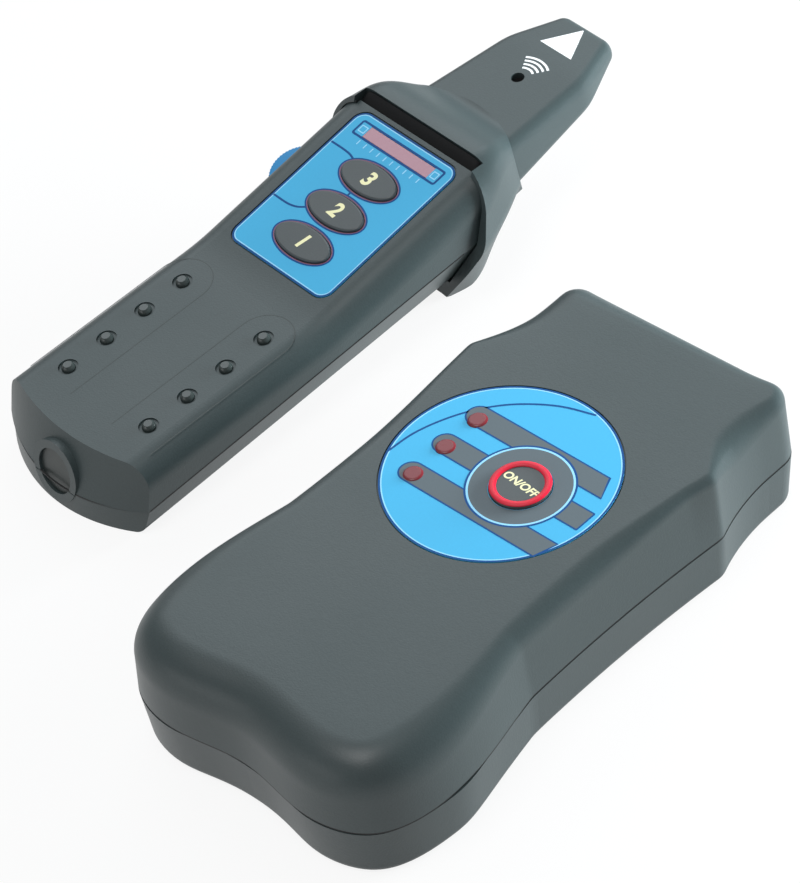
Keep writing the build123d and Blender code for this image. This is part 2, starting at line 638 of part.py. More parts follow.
def rx_lower(grow, edge_round):
    """Lower half of the handle, narrower along its flat underside."""
    end = RX_SOLE_END + grow
    low_face = rx_outline(RX_HALF + grow, -grow, RX_TAIL_DROP, RX_HALF + grow, end)
    tilt = degrees(atan2(RX_FOOT_SLOPE, 1))
    sole = rx_outline(
        RX_FOOT_HALF_TAIL + grow,
        -grow,
        RX_TAIL_FOOT_DROP,
        RX_FOOT_HALF_END + grow,
        end - RX_TAIL_FOOT_SET,
    )
    sole = Pos(0, RX_TAIL_FOOT_SET, -RX_FOOT_AT_TAIL - grow) * Rot(tilt, 0, 0) * sole
    body = loft([sole, low_face], ruled=True)
    if edge_round > 0:
        low = [e for e in body.edges() if e.center().Z < -RX_FOOT_AT_TAIL + 0.2]
        foot = [e for e in low if e.center().Y < end - 1]
        foot = [e for e in foot if abs(e.center().X) > 5 and abs(e.tangent_at(0.5).Y) > 0.9]
        body = fillet(foot, edge_round)
    return body


RX_POSTS = [
    (-RX_POST_NEAR_X, RX_POST_NEAR_Y),
    (RX_POST_NEAR_X, RX_POST_NEAR_Y),
    (-RX_POST_FAR_X, RX_POST_FAR_Y),
    (RX_POST_FAR_X, RX_POST_FAR_Y),
]
RX_BOARD_HALF = RX_HALF - RX_BOARD_SIDE
RX_BOARD_POST_X = RX_BOARD_HALF - RX_BOARD_POST_SIDE
RX_REACH = RX_TIP_Y + RX_HALF
RX_RIM_LEAN = degrees(atan2(RX_RIM_TOP_Y - RX_RIM_FOOT_Y, RX_COLLAR_TOP + RX_COLLAR_FOOT))


def above():
    return block(-RX_REACH, RX_REACH, -RX_REACH, RX_REACH, 0, RX_REACH)


def below(z):
    return block(-RX_REACH, RX_REACH, -RX_REACH, RX_REACH, z - RX_REACH, z)


def rim_block(x0, x1, y0, y1):
    """Block measured from the collar's leaning rim, along the receiver."""
    rim = Pos(0, RX_RIM_FOOT_Y, -RX_COLLAR_FOOT) * Rot(-RX_RIM_LEAN, 0, 0)
    return rim * block(x0, x1, y0, y1, -RX_REACH, RX_REACH)


def rx_front_cuts(grow):
    """Room on both sides of the tongue that goes into the collar."""
    side, start = RX_TONGUE_HALF - grow, RX_TONGUE_SET - grow
    return rim_block(side, RX_REACH, start, RX_REACH) + rim_block(-RX_REACH, -side, start, RX_REACH)


def rx_spigot(grow):
    y1 = RX_BODY_END + RX_SPIGOT_LENGTH
    half = RX_SPIGOT_HALF + grow
    return block(-half, half, RX_BODY_END - 1, y1, RX_SPIGOT_FOOT - grow, RX_SPIGOT_TOP + grow)


def rx_wire_way():
    y1 = RX_NOSE_BACK + RX_NOSE_WALL + 4
    half = RX_SPIGOT_HALF - WALL
    return block(-half, half, RX_BODY_END - 6, y1, RX_SPIGOT_FOOT + RIB, RX_SPIGOT_TOP - RIB)


def rx_key_spots():
    return [(RX_KEY_X, RX_KEY_FIRST + k * RX_KEY_PITCH) for k in range(3)]


def rx_board_spots():
    ends = (RX_BOARD_Y0 + RX_BOARD_POST_NEAR, RX_BOARD_Y1 - RX_BOARD_POST_FAR)
    return [(sx * RX_BOARD_POST_X, y) for sx in (-1, 1) for y in ends]


def rx_key_hole(grow, z0, z1):
    holes = []
    for x, y in rx_key_spots():
        oval = Ellipse(RX_KEY_HALF_X + grow, RX_KEY_HALF_Y + grow)
        holes.append(Pos(x, y, z0) * extrude(oval, z1 - z0))
    return holes


def rx_studs():
    spots = []
    for sx in (-1, 1):
        for k in range(RX_STUD_COUNT):
            y = RX_STUD_FIRST + k * RX_STUD_PITCH
            spots.append((sx * RX_STUD_X, y, top_z(y)))
    return spots


RX_WHEEL_X = -(RX_HALF + RX_WHEEL_PROUD - RX_WHEEL_R)


def rx_label_cut(grow, z0, z1):
    plate = RectangleRounded(RX_LABEL_W + 2 * grow, RX_LABEL_L + 2 * grow, RX_LABEL_R + grow)
    return Pos(0, RX_LABEL_L / 2, z0) * extrude(plate, z1 - z0)


def rx_window_cut(grow, z0, z1):
    y0 = RX_WINDOW_Y - RX_WINDOW_W / 2 - grow
    return block(-RX_WINDOW_HALF - grow, RX_WINDOW_HALF + grow, y0, y0 + RX_WINDOW_W + 2 * grow, z0, z1)


RING = Pos(0, RX_RING_Y, RX_RING_Z) * Rot(-RX_RING_TILT, 0, 0)


def tail_ring(r, y0, y1):
    return RING * rod_y(0, 0, y0, y1, r)


def rx_tail_cuts():
    socket = tail_ring(RX_PLUG_R + FIT, -1, RX_PLUG_SET + RX_PLUG_LENGTH)
    return socket + tail_ring(RX_PLUG_HEAD_R + FIT, RX_PLUG_SET + 2.0, RX_PLUG_SET + 3.2)


def rx_groove():
    """Rebate across the deck's end, in front of the collar."""
    y0 = (RX_BODY_END - RX_LABEL_Y) / cos(radians(RX_DECK_RISE)) - RX_GROOVE_WIDE
    return block(-RX_GROOVE_HALF, RX_GROOVE_HALF, y0, y0 + RX_GROOVE_WIDE + 3, -RX_GROOVE_DEEP, 3)


def rx_top_shell():
    body = rx_upper(0, RX_EDGE_ROUND) - rx_front_cuts(0)
    body += tail_ring(RX_RING_R, 0, RX_RING_DEEP) & above()
    room = rx_upper(-WALL, RX_EDGE_ROUND - WALL) - rx_front_cuts(RX_TONGUE_WALL)
    shell = body - (room - tail_ring(RX_RING_R, 0, RX_RING_DEEP))
    shell += rx_spigot(0)
    shell -= rx_wire_way()
    for x, y in RX_POSTS:
        shell += rod(x, y, 0, top_z(y) - 1, POST_R - 0.4) & body
    for x, y in RX_POSTS:
        shell -= rod(x, y, -1, 6, SCREW_R + SCREW_FIT)
    for x, y in rx_board_spots():
        shell += DECK * rod(x, y, -RX_BOARD_DEPTH, -WALL + 0.5, POST_R - 0.7)
    for x, y in rx_board_spots():
        shell -= DECK * rod(x, y, -RX_BOARD_DEPTH - 1, -WALL - 2.5, SCREW_R + SCREW_FIT)
    shell -= DECK * rx_label_cut(LABEL_GAP, -LABEL_THICK, 3)
    for hole in rx_key_hole(SLIDE_FIT, -WALL - 3, 1):
        shell -= DECK * hole
    shell -= DECK * rx_window_cut(FIT, -WALL - 3, 1)
    for x, y, z in rx_studs():
        shell -= rod(x, y, z - RX_STUD_DISH, z + 2, RX_STUD_DISH_R)
        shell -= rod(x, y, z - WALL - 2, z + 1, RX_STUD_SHANK_R + FIT)
    low = -RX_WHEEL_TOP - RX_WHEEL_THICK - RX_WHEEL_GAP
    slot = rod(RX_WHEEL_X, RX_WHEEL_Y, low, -RX_WHEEL_TOP + RX_WHEEL_GAP, RX_WHEEL_R + RX_WHEEL_GAP)
    shell -= DECK * slot
    return shell - DECK * rx_groove() - rx_tail_cuts()


def rx_bottom_shell():
    ring = tail_ring(RX_RING_R, 0, RX_RING_DEEP) & below(0)
    body = rx_lower(0, RX_FOOT_ROUND) + ring
    room = rx_lower(-WALL, 0)
    shell = body - (room - tail_ring(RX_RING_R, 0, RX_RING_DEEP))
    shell = shell & below(-SEAM)
    lip = rx_upper(-WALL - FIT, 0.6) - rx_upper(-WALL - LIP_THICK, 0.6)
    lip = lip & below(LIP_H) & block(-60, 60, 14, RX_SOLE_END - WALL - 4, -5, 60)
    root = rx_lower(-WALL + 0.6, 0) - rx_lower(-WALL - LIP_THICK, 0)
    root = root & below(-SEAM) & block(-60, 60, 14, RX_SOLE_END - WALL - 4, -3, 60)
    stem = rx_lower(-WALL - FIT, 0) - rx_lower(-WALL - LIP_THICK, 0)
    stem = stem & block(-60, 60, 14, RX_SOLE_END - WALL - 4, -1, 0)
    shell += root + stem + lip
    for x, y in RX_POSTS:
        shell -= rod(x, y, 0, LIP_H + 1, POST_R)
        shell += rod(x, y, foot_z(y) + 1, 0, POST_R - 0.4) & body
    for x, y in RX_POSTS:
        shell -= rod(x, y, foot_z(y) - 5, 1, SCREW_R + SCREW_FIT)
        shell -= rod(x, y, foot_z(y) - 5, rx_head_z(y), SCREW_HEAD_R + FIT)
    shell -= FOOT * rx_door_cuts()
    shell += FOOT * rx_door_posts()
    for x, y in RX_DOOR_SCREWS:
        shell -= FOOT * rod(x, y, -1, FLOOR + 6, SCREW_R + SCREW_FIT)
    wheel_room = rod(RX_WHEEL_X, RX_WHEEL_Y, -RX_BOARD_DEPTH - 1, 0, RX_WHEEL_R + RX_WHEEL_GAP)
    shell -= DECK * wheel_room
    return shell - rx_tail_cuts()


def rx_head_z(y):
    return foot_z(y) + SCREW_HEAD_H + 1.2


RX_CELL_Y1 = RX_CELL_START + RX_CELL_LENGTH
RX_CELL_Z = FLOOR + RX_CELL_R + 0.2
RX_DOOR_HALF = RX_CELL_COUNT * (2 * RX_CELL_R + RX_CELL_GAP) / 2
RX_DOOR_Y0 = RX_CELL_START
RX_DOOR_Y1 = RX_CELL_Y1 + CONTACT_GAP + 10.0
RX_DOOR_SCREWS = [(sx * RX_DOOR_HALF * 0.5, RX_DOOR_Y1 - 4.5) for sx in (-1, 1)]
RX_DIVIDER_Y = RX_CELL_Y1 + CONTACT_GAP + CONTACT_THICK
RX_NEAR_RIB_Y = RX_CELL_START - CONTACT_GAP - CONTACT_THICK


def rx_door_cuts():
    tongue_half = RX_DOOR_HALF - 3 + DOOR_GAP
    groove = RX_DOOR_Y0 - DOOR_GAP - TONGUE_REACH
    near = RX_DOOR_Y0 - DOOR_GAP
    wide = RX_DOOR_HALF + RX_DOOR_STEP
    cut = block(-wide, wide, near, RX_DOOR_Y1 + DOOR_GAP, -1, DOOR_THICK)
    cut += block(-RX_DOOR_HALF, RX_DOOR_HALF, near, RX_CELL_Y1, -1, FLOOR + 1)
    tongue_z = DOOR_THICK - TONGUE_THICK - FIT
    return cut + block(-tongue_half, tongue_half, groove, near + 1, tongue_z, DOOR_THICK)


def rx_door_posts():
    rib_end = RX_DIVIDER_Y + RIB
    posts = block(-RX_DOOR_HALF, RX_DOOR_HALF, RX_DIVIDER_Y, rib_end, FLOOR - 0.6, RX_CELL_Z + 3)
    near = RX_NEAR_RIB_Y - RIB
    posts += block(-RX_DOOR_HALF, RX_DOOR_HALF, near, near + RIB, FLOOR - 0.6, RX_CELL_Z + 3)
    for x, y in RX_DOOR_SCREWS:
        posts += rod(x, y, DOOR_THICK, FLOOR + 6, POST_R - 0.6)
    return posts


def rx_battery_door():
    half = RX_DOOR_HALF + RX_DOOR_STEP - DOOR_GAP
    door = block(-half, half, RX_DOOR_Y0, RX_DOOR_Y1, 0.1, DOOR_THICK)
    tongue_half = RX_DOOR_HALF - 3
    reach = RX_DOOR_Y0 - TONGUE_REACH
    door += block(-tongue_half, tongue_half, reach, RX_DOOR_Y0 + 1, DOOR_THICK - TONGUE_THICK, DOOR_THICK)
    for x, y in RX_DOOR_SCREWS:
        door -= rod(x, y, -1, DOOR_THICK + 1, SCREW_R + SCREW_FIT)
        door -= Pos(x, y, 0.6) * Cone(SCREW_HEAD_R + FIT, SCREW_R + SCREW_FIT, 1.0)
    return door


def cross_section(y, half, top, foot, top_round, foot_round):
    """Rounded rectangle across the receiver, with its own radius above and below."""
    shape = Rectangle(2 * half, top + foot)
    shape = fillet([v for v in shape.vertices() if v.Y > 0], top_round)
    shape = fillet([v for v in shape.vertices() if v.Y < -(top + foot) / 2 + 0.01], foot_round)
    plane = Plane(origin=(0, y, (top - foot) / 2), x_dir=(1, 0, 0), z_dir=(0, -1, 0))
    return plane * shape


def collar_section(y, half, top, foot, foot_half, crown, side_round, keel):
    """Section across the collar: upright sides, drawn in below the parting to a narrower foot."""
    side = -RX_COLLAR_BILGE
    right = [(foot_half, -foot), (half, side), (half, top)]
    left = [(-half, top), (-half, side), (-foot_half, -foot)]
    shape = Polygon(*right, *left, align=None)
    shape = fillet([v for v in shape.vertices() if v.Y > top - 0.01], crown)
    shape = fillet([v for v in shape.vertices() if abs(v.Y - side) < 0.01], side_round)
    shape = fillet([v for v in shape.vertices() if v.Y < -foot + 0.01], keel)
    return Plane(origin=(0, y, 0), x_dir=(1, 0, 0), z_dir=(0, -1, 0)) * shape


def rx_collar():
    top, foot, half = RX_COLLAR_TOP, RX_COLLAR_FOOT, RX_COLLAR_HALF
    low, crown = RX_COLLAR_FOOT_HALF, RX_COLLAR_ROUND
    side, keel = RX_COLLAR_SIDE_ROUND, RX_COLLAR_KEEL_ROUND
    neck, neck_top, neck_foot = RX_NECK_HALF, RX_NECK_TOP, RX_NECK_FOOT
    bend = RX_NECK_ROUND
    waist = (RX_BODY_END + RX_NECK_Y) / 2 - 2.5
    stations = [
        (RX_RIM_FOOT_Y - 4, half, top - 0.3, foot - 0.3, low, crown, side, keel),
        (RX_RIM_TOP_Y - 2, half, top, foot, low, crown, side, keel),
        (RX_BODY_END, half - 2.0, top - 0.1, foot - 4.4, low - 1.0, crown - 1.5, side - 1, keel),
        (waist, half - 4.8, top - 1.6, foot - 8.3, low - 2.2, crown - 4.0, side - 2, keel),
        (RX_NECK_Y - 4, neck + 0.9, neck_top + 1.1, neck_foot + 1, neck - 0.1, bend + 1, 3, 2.8),
        (RX_NECK_Y, neck, neck_top, neck_foot, neck - 0.7, bend, 3, 2.4),
    ]
    body = loft([collar_section(*station) for station in stations])
    body -= rim_block(-RX_REACH, RX_REACH, -RX_REACH, 0)
    body += Pos(0, RX_REST_Y, RX_REST_Z) * Rot(0, 90, 0) * Cylinder(RX_REST_R, 2 * RX_REST_HALF)
    body &= rod(0, RX_NECK_Y - RX_NECK_BOW, -50, 50, RX_NECK_BOW)
    handle = rx_upper(RX_COLLAR_CLEAR, RX_EDGE_ROUND + RX_COLLAR_CLEAR) - rx_front_cuts(-RX_COLLAR_CLEAR)
    body = body - handle - rx_lower(RX_COLLAR_CLEAR, 0)
    body -= block(-RX_GROOVE_HALF, RX_GROOVE_HALF, 0, RX_BODY_END + RX_COLLAR_CLEAR, 5, 80)
    body += block(-RX_SPIGOT_HALF, RX_SPIGOT_HALF, RX_BODY_END, RX_BODY_END + 1, 0, 10)
    return body - rx_spigot(FIT) - rx_wire_way() - nose_body(FIT)


def nose_line(y, at_neck, at_taper):
    return at_neck + (y - RX_NECK_Y) / (RX_TAPER_Y - RX_NECK_Y) * (at_taper - at_neck)


def nose_section(y, grow, corner):
    """Cross section between the back of the nose and the start of its taper."""
    half = nose_line(y, RX_NOSE_HALF, RX_NOSE_HALF_TAPER) + grow
    top = nose_line(y, RX_NOSE_TOP, RX_NOSE_TOP_TAPER) + grow
    foot = nose_line(y, RX_NOSE_FOOT, RX_NOSE_FOOT_TAPER) + grow
    return cross_section(y, half, top, foot, corner, corner)


def nose_body(grow):
    corner = RX_NOSE_ROUND - 0.6
    tip = cross_section(
        RX_TIP_Y, RX_NOSE_HALF_TIP + grow, RX_NOSE_TOP_TIP + grow, RX_NOSE_FOOT_TIP + grow, corner, corner
    )
    back = nose_section(RX_NOSE_BACK, grow, RX_NOSE_ROUND)
    return loft([back, nose_section(RX_TAPER_Y, grow, RX_NOSE_ROUND), tip], ruled=True)


def nose_room():
    """Hollow between the back and the taper, one wall in from the outside."""
    corner = RX_NOSE_ROUND - RX_NOSE_WALL
    back = nose_section(RX_NOSE_BACK + RX_NOSE_WALL, -RX_NOSE_WALL, corner)
    return loft([back, nose_section(RX_TAPER_Y, -RX_NOSE_WALL, corner)], ruled=True)


def rx_nose():
    body = nose_body(0)
    tip = [e for e in body.edges() if e.center().Y > RX_TIP_Y - 0.01]
    body = fillet(tip, 1.2)
    body = body - nose_room() - rx_wire_way()
    return body - rod(0, RX_SOUND_Y, RX_NOSE_TOP - 5, RX_NOSE_TOP + 3, RX_SOUND_R)


def nose_roof(y):
    return nose_line(y, RX_NOSE_TOP, RX_NOSE_TOP_TAPER) - RX_NOSE_WALL


def nose_floor(y):
    return RX_NOSE_WALL - nose_line(y, RX_NOSE_FOOT, RX_NOSE_FOOT_TAPER)


def rx_buzzer():
    lean = degrees(atan2(RX_NOSE_TOP_TAPER - RX_NOSE_TOP, RX_TAPER_Y - RX_NECK_Y))
    disc = Pos(0, 0, -RX_BUZZER_H / 2) * Cylinder(RX_BUZZER_R, RX_BUZZER_H) - Cylinder(RX_SOUND_R, 1.5)
    return Pos(0, RX_SOUND_Y, nose_roof(RX_SOUND_Y)) * Rot(lean, 0, 0) * disc


RX_CORE_Y = RX_NECK_Y + 5
RX_CORE_LEAN = degrees(atan2(RX_NOSE_FOOT - RX_NOSE_FOOT_TAPER, RX_TAPER_Y - RX_NECK_Y))
CORE = Pos(0, RX_CORE_Y, nose_floor(RX_CORE_Y)) * Rot(RX_CORE_LEAN, 0, 0) * Pos(0, 0, RX_WINDING_R + FIT)


def rx_sensor_core():
    return rod_y(0, 0, 0, RX_CORE_LENGTH, RX_CORE_R)


def rx_sensor_winding():
    y0 = (RX_CORE_LENGTH - RX_WINDING_LENGTH) / 2
    winding = rod_y(0, 0, y0, y0 + RX_WINDING_LENGTH, RX_WINDING_R)
    return winding - rod_y(0, 0, y0 - 1, y0 + RX_WINDING_LENGTH + 1, RX_CORE_R)


def rx_tail_plug():
    plug = tail_ring(RX_PLUG_R, RX_PLUG_SET, RX_PLUG_SET + RX_PLUG_LENGTH)
    plug += tail_ring(RX_PLUG_HEAD_R, RX_PLUG_SET + 2.1, RX_PLUG_SET + 3.1)
    return plug


def rx_label():
    label = rx_label_cut(0, -LABEL_THICK, 0)
    for hole in rx_key_hole(SLIDE_FIT, -3, 1):
        label -= hole
    return label - rx_window_cut(FIT, -3, 1)


RX_SWITCH_TOP = -RX_BOARD_DEPTH + SWITCH_H + PLUNGER_H


def rx_key(k):
    x, y = rx_key_spots()[k]
    flange_top = -WALL - KEY_FREE
    cap = extrude(Ellipse(RX_KEY_HALF_X, RX_KEY_HALF_Y), KEY_PROUD - flange_top)
    cap = fillet(top_edges(cap, KEY_PROUD - flange_top), 0.5)
    cap = Pos(x, y, flange_top) * cap
    out = FLANGE_OUT * 0.5
    brim = extrude(Ellipse(RX_KEY_HALF_X + out, RX_KEY_HALF_Y + out), FLANGE_THICK)
    cap += Pos(x, y, flange_top - FLANGE_THICK) * brim
    return cap + rod(x, y, RX_SWITCH_TOP + KEY_TRAVEL + KEY_FREE, flange_top - 0.2, PLUNGER_R)


def rx_board():
    low = -RX_BOARD_DEPTH - BOARD_THICK
    board = block(-RX_BOARD_HALF, RX_BOARD_HALF, RX_BOARD_Y0, RX_BOARD_Y1, low, -RX_BOARD_DEPTH)
    for x, y in rx_board_spots():
        board -= rod(x, y, low - 1, -RX_BOARD_DEPTH + 1, SCREW_R + SCREW_FIT)
    return board


def rx_window():
    return rx_window_cut(0, -RX_WINDOW_DEEP, 0)


def rx_bargraph():
    y0 = RX_WINDOW_Y - RX_BAR_W / 2
    stem_y0 = RX_WINDOW_Y - RX_WINDOW_W / 2
    bar = block(-RX_BAR_HALF, RX_BAR_HALF, y0, y0 + RX_BAR_W, -RX_BOARD_DEPTH, -WALL - 0.3)
    stem_y1 = stem_y0 + RX_WINDOW_W
    return bar + block(-RX_BAR_HALF, RX_BAR_HALF, stem_y0, stem_y1, -WALL - 1, -RX_WINDOW_DEEP)


def rx_stud(x, y, z):
    dome = Pos(x, y, z - RX_STUD_DISH) * (Sphere(RX_STUD_R) & block(-9, 9, -9, 9, 0, 9))
    stud = dome & block(x - 9, x + 9, y - 9, y + 9, z - 9, z + RX_STUD_PROUD)
    return stud + rod(x, y, z - WALL, z - RX_STUD_DISH, RX_STUD_SHANK_R)


def rx_thumbwheel():
    wheel = rod(RX_WHEEL_X, RX_WHEEL_Y, -RX_WHEEL_TOP - RX_WHEEL_THICK, -RX_WHEEL_TOP, RX_WHEEL_R)
    wheel = chamfer(wheel.edges(), 0.5)
    return wheel - rod(RX_WHEEL_X, RX_WHEEL_Y, -RX_BOARD_DEPTH, -RX_WHEEL_TOP - 1.2, RX_SHAFT_R)


def rx_pot_shaft():
    return rod(RX_WHEEL_X, RX_WHEEL_Y, -RX_BOARD_DEPTH + 0.4, -RX_WHEEL_TOP - 1.2, RX_SHAFT_R)


def rx_pot():
    half = RX_POT_SIDE / 2
    top = -RX_WHEEL_TOP - RX_WHEEL_THICK - RX_WHEEL_GAP
    x0 = -RX_HALF + WALL + 0.3
    pot = block(x0, x0 + RX_POT_SIDE, RX_WHEEL_Y - half, RX_WHEEL_Y + half, -RX_BOARD_DEPTH, top)
    return pot - rod(RX_WHEEL_X, RX_WHEEL_Y, -RX_BOARD_DEPTH + 0.3, 0, RX_SHAFT_R + RX_SHAFT_FIT)


def rx_cell_row():
    pitch = 2 * RX_CELL_R + RX_CELL_GAP
    return [(k - (RX_CELL_COUNT - 1) / 2) * pitch for k in range(RX_CELL_COUNT)]


def rx_cell(k, x):
    turn = Rot(-90, 0, 0) if k % 2 == 0 else Rot(90, 0, 0)
    y = RX_CELL_START if k % 2 == 0 else RX_CELL_Y1
    upright = cell(RX_CELL_LENGTH, RX_CELL_R, RX_CELL_BUTTON_R, RX_CELL_BUTTON_H)
    return Pos(x, y, RX_CELL_Z) * turn * upright


def build_transmitter():
    save("tx_top_shell", [tx_top_shell()])
    save("tx_bottom_shell", [tx_bottom_shell()])
    save("tx_battery_door", [tx_battery_door()])
    save("tx_door_screws", [tx_door_screw(x, y) for x, y in TX_DOOR_SCREWS])
    save("tx_case_screws", [pan_screw(x, y, FLOOR + SCREW_HEAD_H, TX_PARTING + 3) for x, y in TX_POSTS])
    save("tx_label", [tx_label()])
    save("tx_power_key", [tx_power_key()])
    for name, (x, y) in zip(("output", "load", "battery"), TX_LAMP_SPOTS):
        save(f"tx_lamp_{name}", [tx_lamp(x, y)])
    save("tx_board", [tx_board()])
    save("tx_board_screws", [pan_screw(x, y, TX_BOARD_Z, BOARD_THICK + 4) for x, y in tx_board_spots()])
    save("tx_key_switch", [tact_switch(TX_KEY_X, TX_KEY_Y, TX_BOARD_Z + BOARD_THICK)])
    save("tx_coil_core", [tx_coil_core()])
    save("tx_coil_winding", [tx_coil_winding()])
    for name, x in zip(("black", "red"), TX_SOCKET_SPOTS):
        save(f"tx_socket_{name}", [tx_socket(x)])
    save("tx_socket_nuts", [tx_socket_nut(x) for x in TX_SOCKET_SPOTS])
    save("tx_cells", [tx_cell(k, x) for k, x in enumerate(tx_cell_row())])
    half = TX_CELL_R - 1.6
    stud_r = TX_CELL_BUTTON_R - 0.4
    row = contact_row(tx_cell_row(), TX_CELL_Z, TX_NEAR_RIB_Y, TX_DIVIDER_Y, half, half - 1.2, stud_r)
    save("tx_battery_contacts", row)


def build_receiver():
    save("rx_top_shell", [rx_top_shell()], RX)
    save("rx_bottom_shell", [rx_bottom_shell()], RX)
    save("rx_collar", [rx_collar()], RX)
    save("rx_nose", [rx_nose()], RX)
    save("rx_tail_plug", [rx_tail_plug()], RX)
    save("rx_grip_studs", [rx_stud(*spot) for spot in rx_studs()], RX)
    save("rx_case_screws", [pan_screw(x, y, rx_head_z(y), 4 - rx_head_z(y)) for x, y in RX_POSTS], RX)
    save("rx_label", [rx_label()], RX * DECK)
    for k, name in enumerate(("low", "middle", "high")):
        save(f"rx_key_{name}", [rx_key(k)], RX * DECK)
    save("rx_board", [rx_board()], RX * DECK)
    save("rx_key_switches", [tact_switch(x, y, -RX_BOARD_DEPTH) for x, y in rx_key_spots()], RX * DECK)
    under_board = -RX_BOARD_DEPTH - BOARD_THICK
    screws = [pan_screw(x, y, under_board, BOARD_THICK + 4) for x, y in rx_board_spots()]
    save("rx_board_screws", screws, RX * DECK)
    save("rx_window", [rx_window()], RX * DECK)
    save("rx_bargraph", [rx_bargraph()], RX * DECK)
    save("rx_thumbwheel", [rx_thumbwheel()], RX * DECK)
    save("rx_pot_shaft", [rx_pot_shaft()], RX * DECK)
    save("rx_pot", [rx_pot()], RX * DECK)
    save("rx_buzzer", [rx_buzzer()], RX)
    save("rx_sensor_core", [rx_sensor_core()], RX * CORE)
    save("rx_sensor_winding", [rx_sensor_winding()], RX * CORE)
    save("rx_battery_door", [rx_battery_door()], RX * FOOT)
    save("rx_door_screws", [tx_door_screw(x, y) for x, y in RX_DOOR_SCREWS], RX * FOOT)
    save("rx_cells", [rx_cell(k, x) for k, x in enumerate(rx_cell_row())], RX * FOOT)
    half = RX_CELL_R - 1.2
    stud_r = RX_CELL_BUTTON_R - 0.3
    row = contact_row(rx_cell_row(), RX_CELL_Z, RX_NEAR_RIB_Y, RX_DIVIDER_Y, half, half - 1.0, stud_r)
    save("rx_battery_contacts", row, RX * FOOT)


build_transmitter()
build_receiver()
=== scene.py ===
from math import cos, pi, radians, sin, tan

import bmesh
import bpy
import numpy as np
from mathutils import Matrix, Vector


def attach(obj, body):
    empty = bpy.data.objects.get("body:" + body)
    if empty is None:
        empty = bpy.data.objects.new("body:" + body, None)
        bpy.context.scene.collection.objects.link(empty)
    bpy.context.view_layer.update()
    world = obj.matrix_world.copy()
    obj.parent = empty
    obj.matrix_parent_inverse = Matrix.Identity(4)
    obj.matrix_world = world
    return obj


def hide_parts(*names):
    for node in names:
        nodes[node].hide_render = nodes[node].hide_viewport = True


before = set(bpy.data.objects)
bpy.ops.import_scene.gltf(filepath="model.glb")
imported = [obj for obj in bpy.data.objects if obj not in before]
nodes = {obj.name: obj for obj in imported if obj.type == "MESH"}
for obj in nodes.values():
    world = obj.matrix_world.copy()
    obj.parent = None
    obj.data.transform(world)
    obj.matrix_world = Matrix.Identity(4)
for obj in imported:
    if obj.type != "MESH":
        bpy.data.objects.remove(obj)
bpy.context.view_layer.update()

MM = 0.001

# Transmitter, in millimetres from the middle of its underside
TX_FAR = 75.0
TX_TOP = 33.0
TX_PARTING = 14.0
TX_LOBES = [(0.0, -72.5), (23.5, -74.9), (37.1, -69.4), (42.7, -53.5), (37.1, -19.5)]
TX_WAIST = (36.7, 8.0)
TX_SHOULDER = (38.6, 42.4)
TX_HOLLOW = (35.45, 52.7)
TX_END_START = (34.4, 63.0)
TX_END_CORNER = 6.5
TX_DRAFT = 1.4
TX_WALL = 2.4
TX_KEY = (5.0, 14.3)
TX_LABEL = (-1.5, 14.8)
TX_LABEL_R = 27.8
TX_LABEL_GAP = 0.35
TX_SOCKETS = (-9.5, 9.5)
TX_SOCKET_Z = 21.2
TX_SOCKET_POCKET_R = 5.7
TX_SOCKET_POCKET_LONG = 12.0
TX_RECESS_DEEP = 0.55
TX_FAR_RIGHT_STEEPER = 1.0
ROUND_LOBE = 10.0
ROUND_WAIST_LESS = 4.8
ROUND_SHOULDER_LESS = 2.6
ROUND_PAST_MORE = 3.4
ROUND_FAR_MORE = 4.4
SEAM_BEVEL = 0.35
SEAM_BEVEL_IN = 0.4
SEAM_SET_IN = 0.06
SEAM_BELOW = 0.1
SEAM_ABOVE = 0.24
SEAM_DEEP = 0.6
CASING_CREASE = 40
OUTLINE_SOFT = 0.6
INSET_SOFT = 5.0
INNER_ROUND_LEAST = 0.4
ROOF_BELOW_ROUND = 0.2

# Receiver, in its own frame: x across, y from the tail, z off the parting plane
RX_AT = (-105.3, -33.1)
RX_YAW = -4.55
RX_PITCH = 6.2
RX_HALF = 26.0
RX_TAIL_DROP = 8.4
RX_FOOT_AT_TAIL = 6.2
RX_TAIL_FOOT_SET = -1.0
RX_TOP_AT_TAIL = 12.1
RX_TAIL_TOP_SET = 7.0
RX_TOP_AT_BEND = 9.2
RX_BEND_Y = 69.0
RX_DECK_RISE = 5.9
RX_STUD_X = 15.1
PAD_HALF = 7.4
PAD_START = 15.5
PAD_END = 57.2
PAD_SKEW = 0.2
PAD_LINE_WIDE = 0.22
HANDLE_END = 110.0
HANDLE_SEAM_OUT = 0.03
HANDLE_SEAM_IN = 0.4
HANDLE_SEAM_HALF = 0.2
NOSE_BACK, NOSE_TIP = 131.0, 178.0
NOSE_Y = [100.0, 141.0, 163.5, 178.0, 200.0]
NOSE_HALF = [20.06, 16.6, 14.7, 8.8, -0.15]
NOSE_TOP = [11.93, 9.2, 7.7, 6.2, 3.92]
NOSE_FOOT = [8.41, 4.4, 2.2, -0.3, -4.09]
SOUND_HOLE = (0.3, 154.2)
SOUND_HOLE_R = 1.7
SOUND_HOLE_FLOOR = -2.35
SOUND_CUT_Z = 8.4
SOUND_CUT_LONG = 5.0
SOUND_HOLE_DISC_THICK = 0.6
SOUND_ARC_AT = (0.45, 154.6)
SOUND_ARCS = (3.35, 4.62, 5.9, 7.16)
SOUND_ARC_WIDE = 0.62
SOUND_ARC_FROM, SOUND_ARC_TO = 56, 124
NOSE_BLEND = 4.5
NOSE_TIP_ROUND = 1.9
NOSE_CORNER = 3.2
POINTER_TIP = (0.27, 176.3)
POINTER_LONG = 9.4
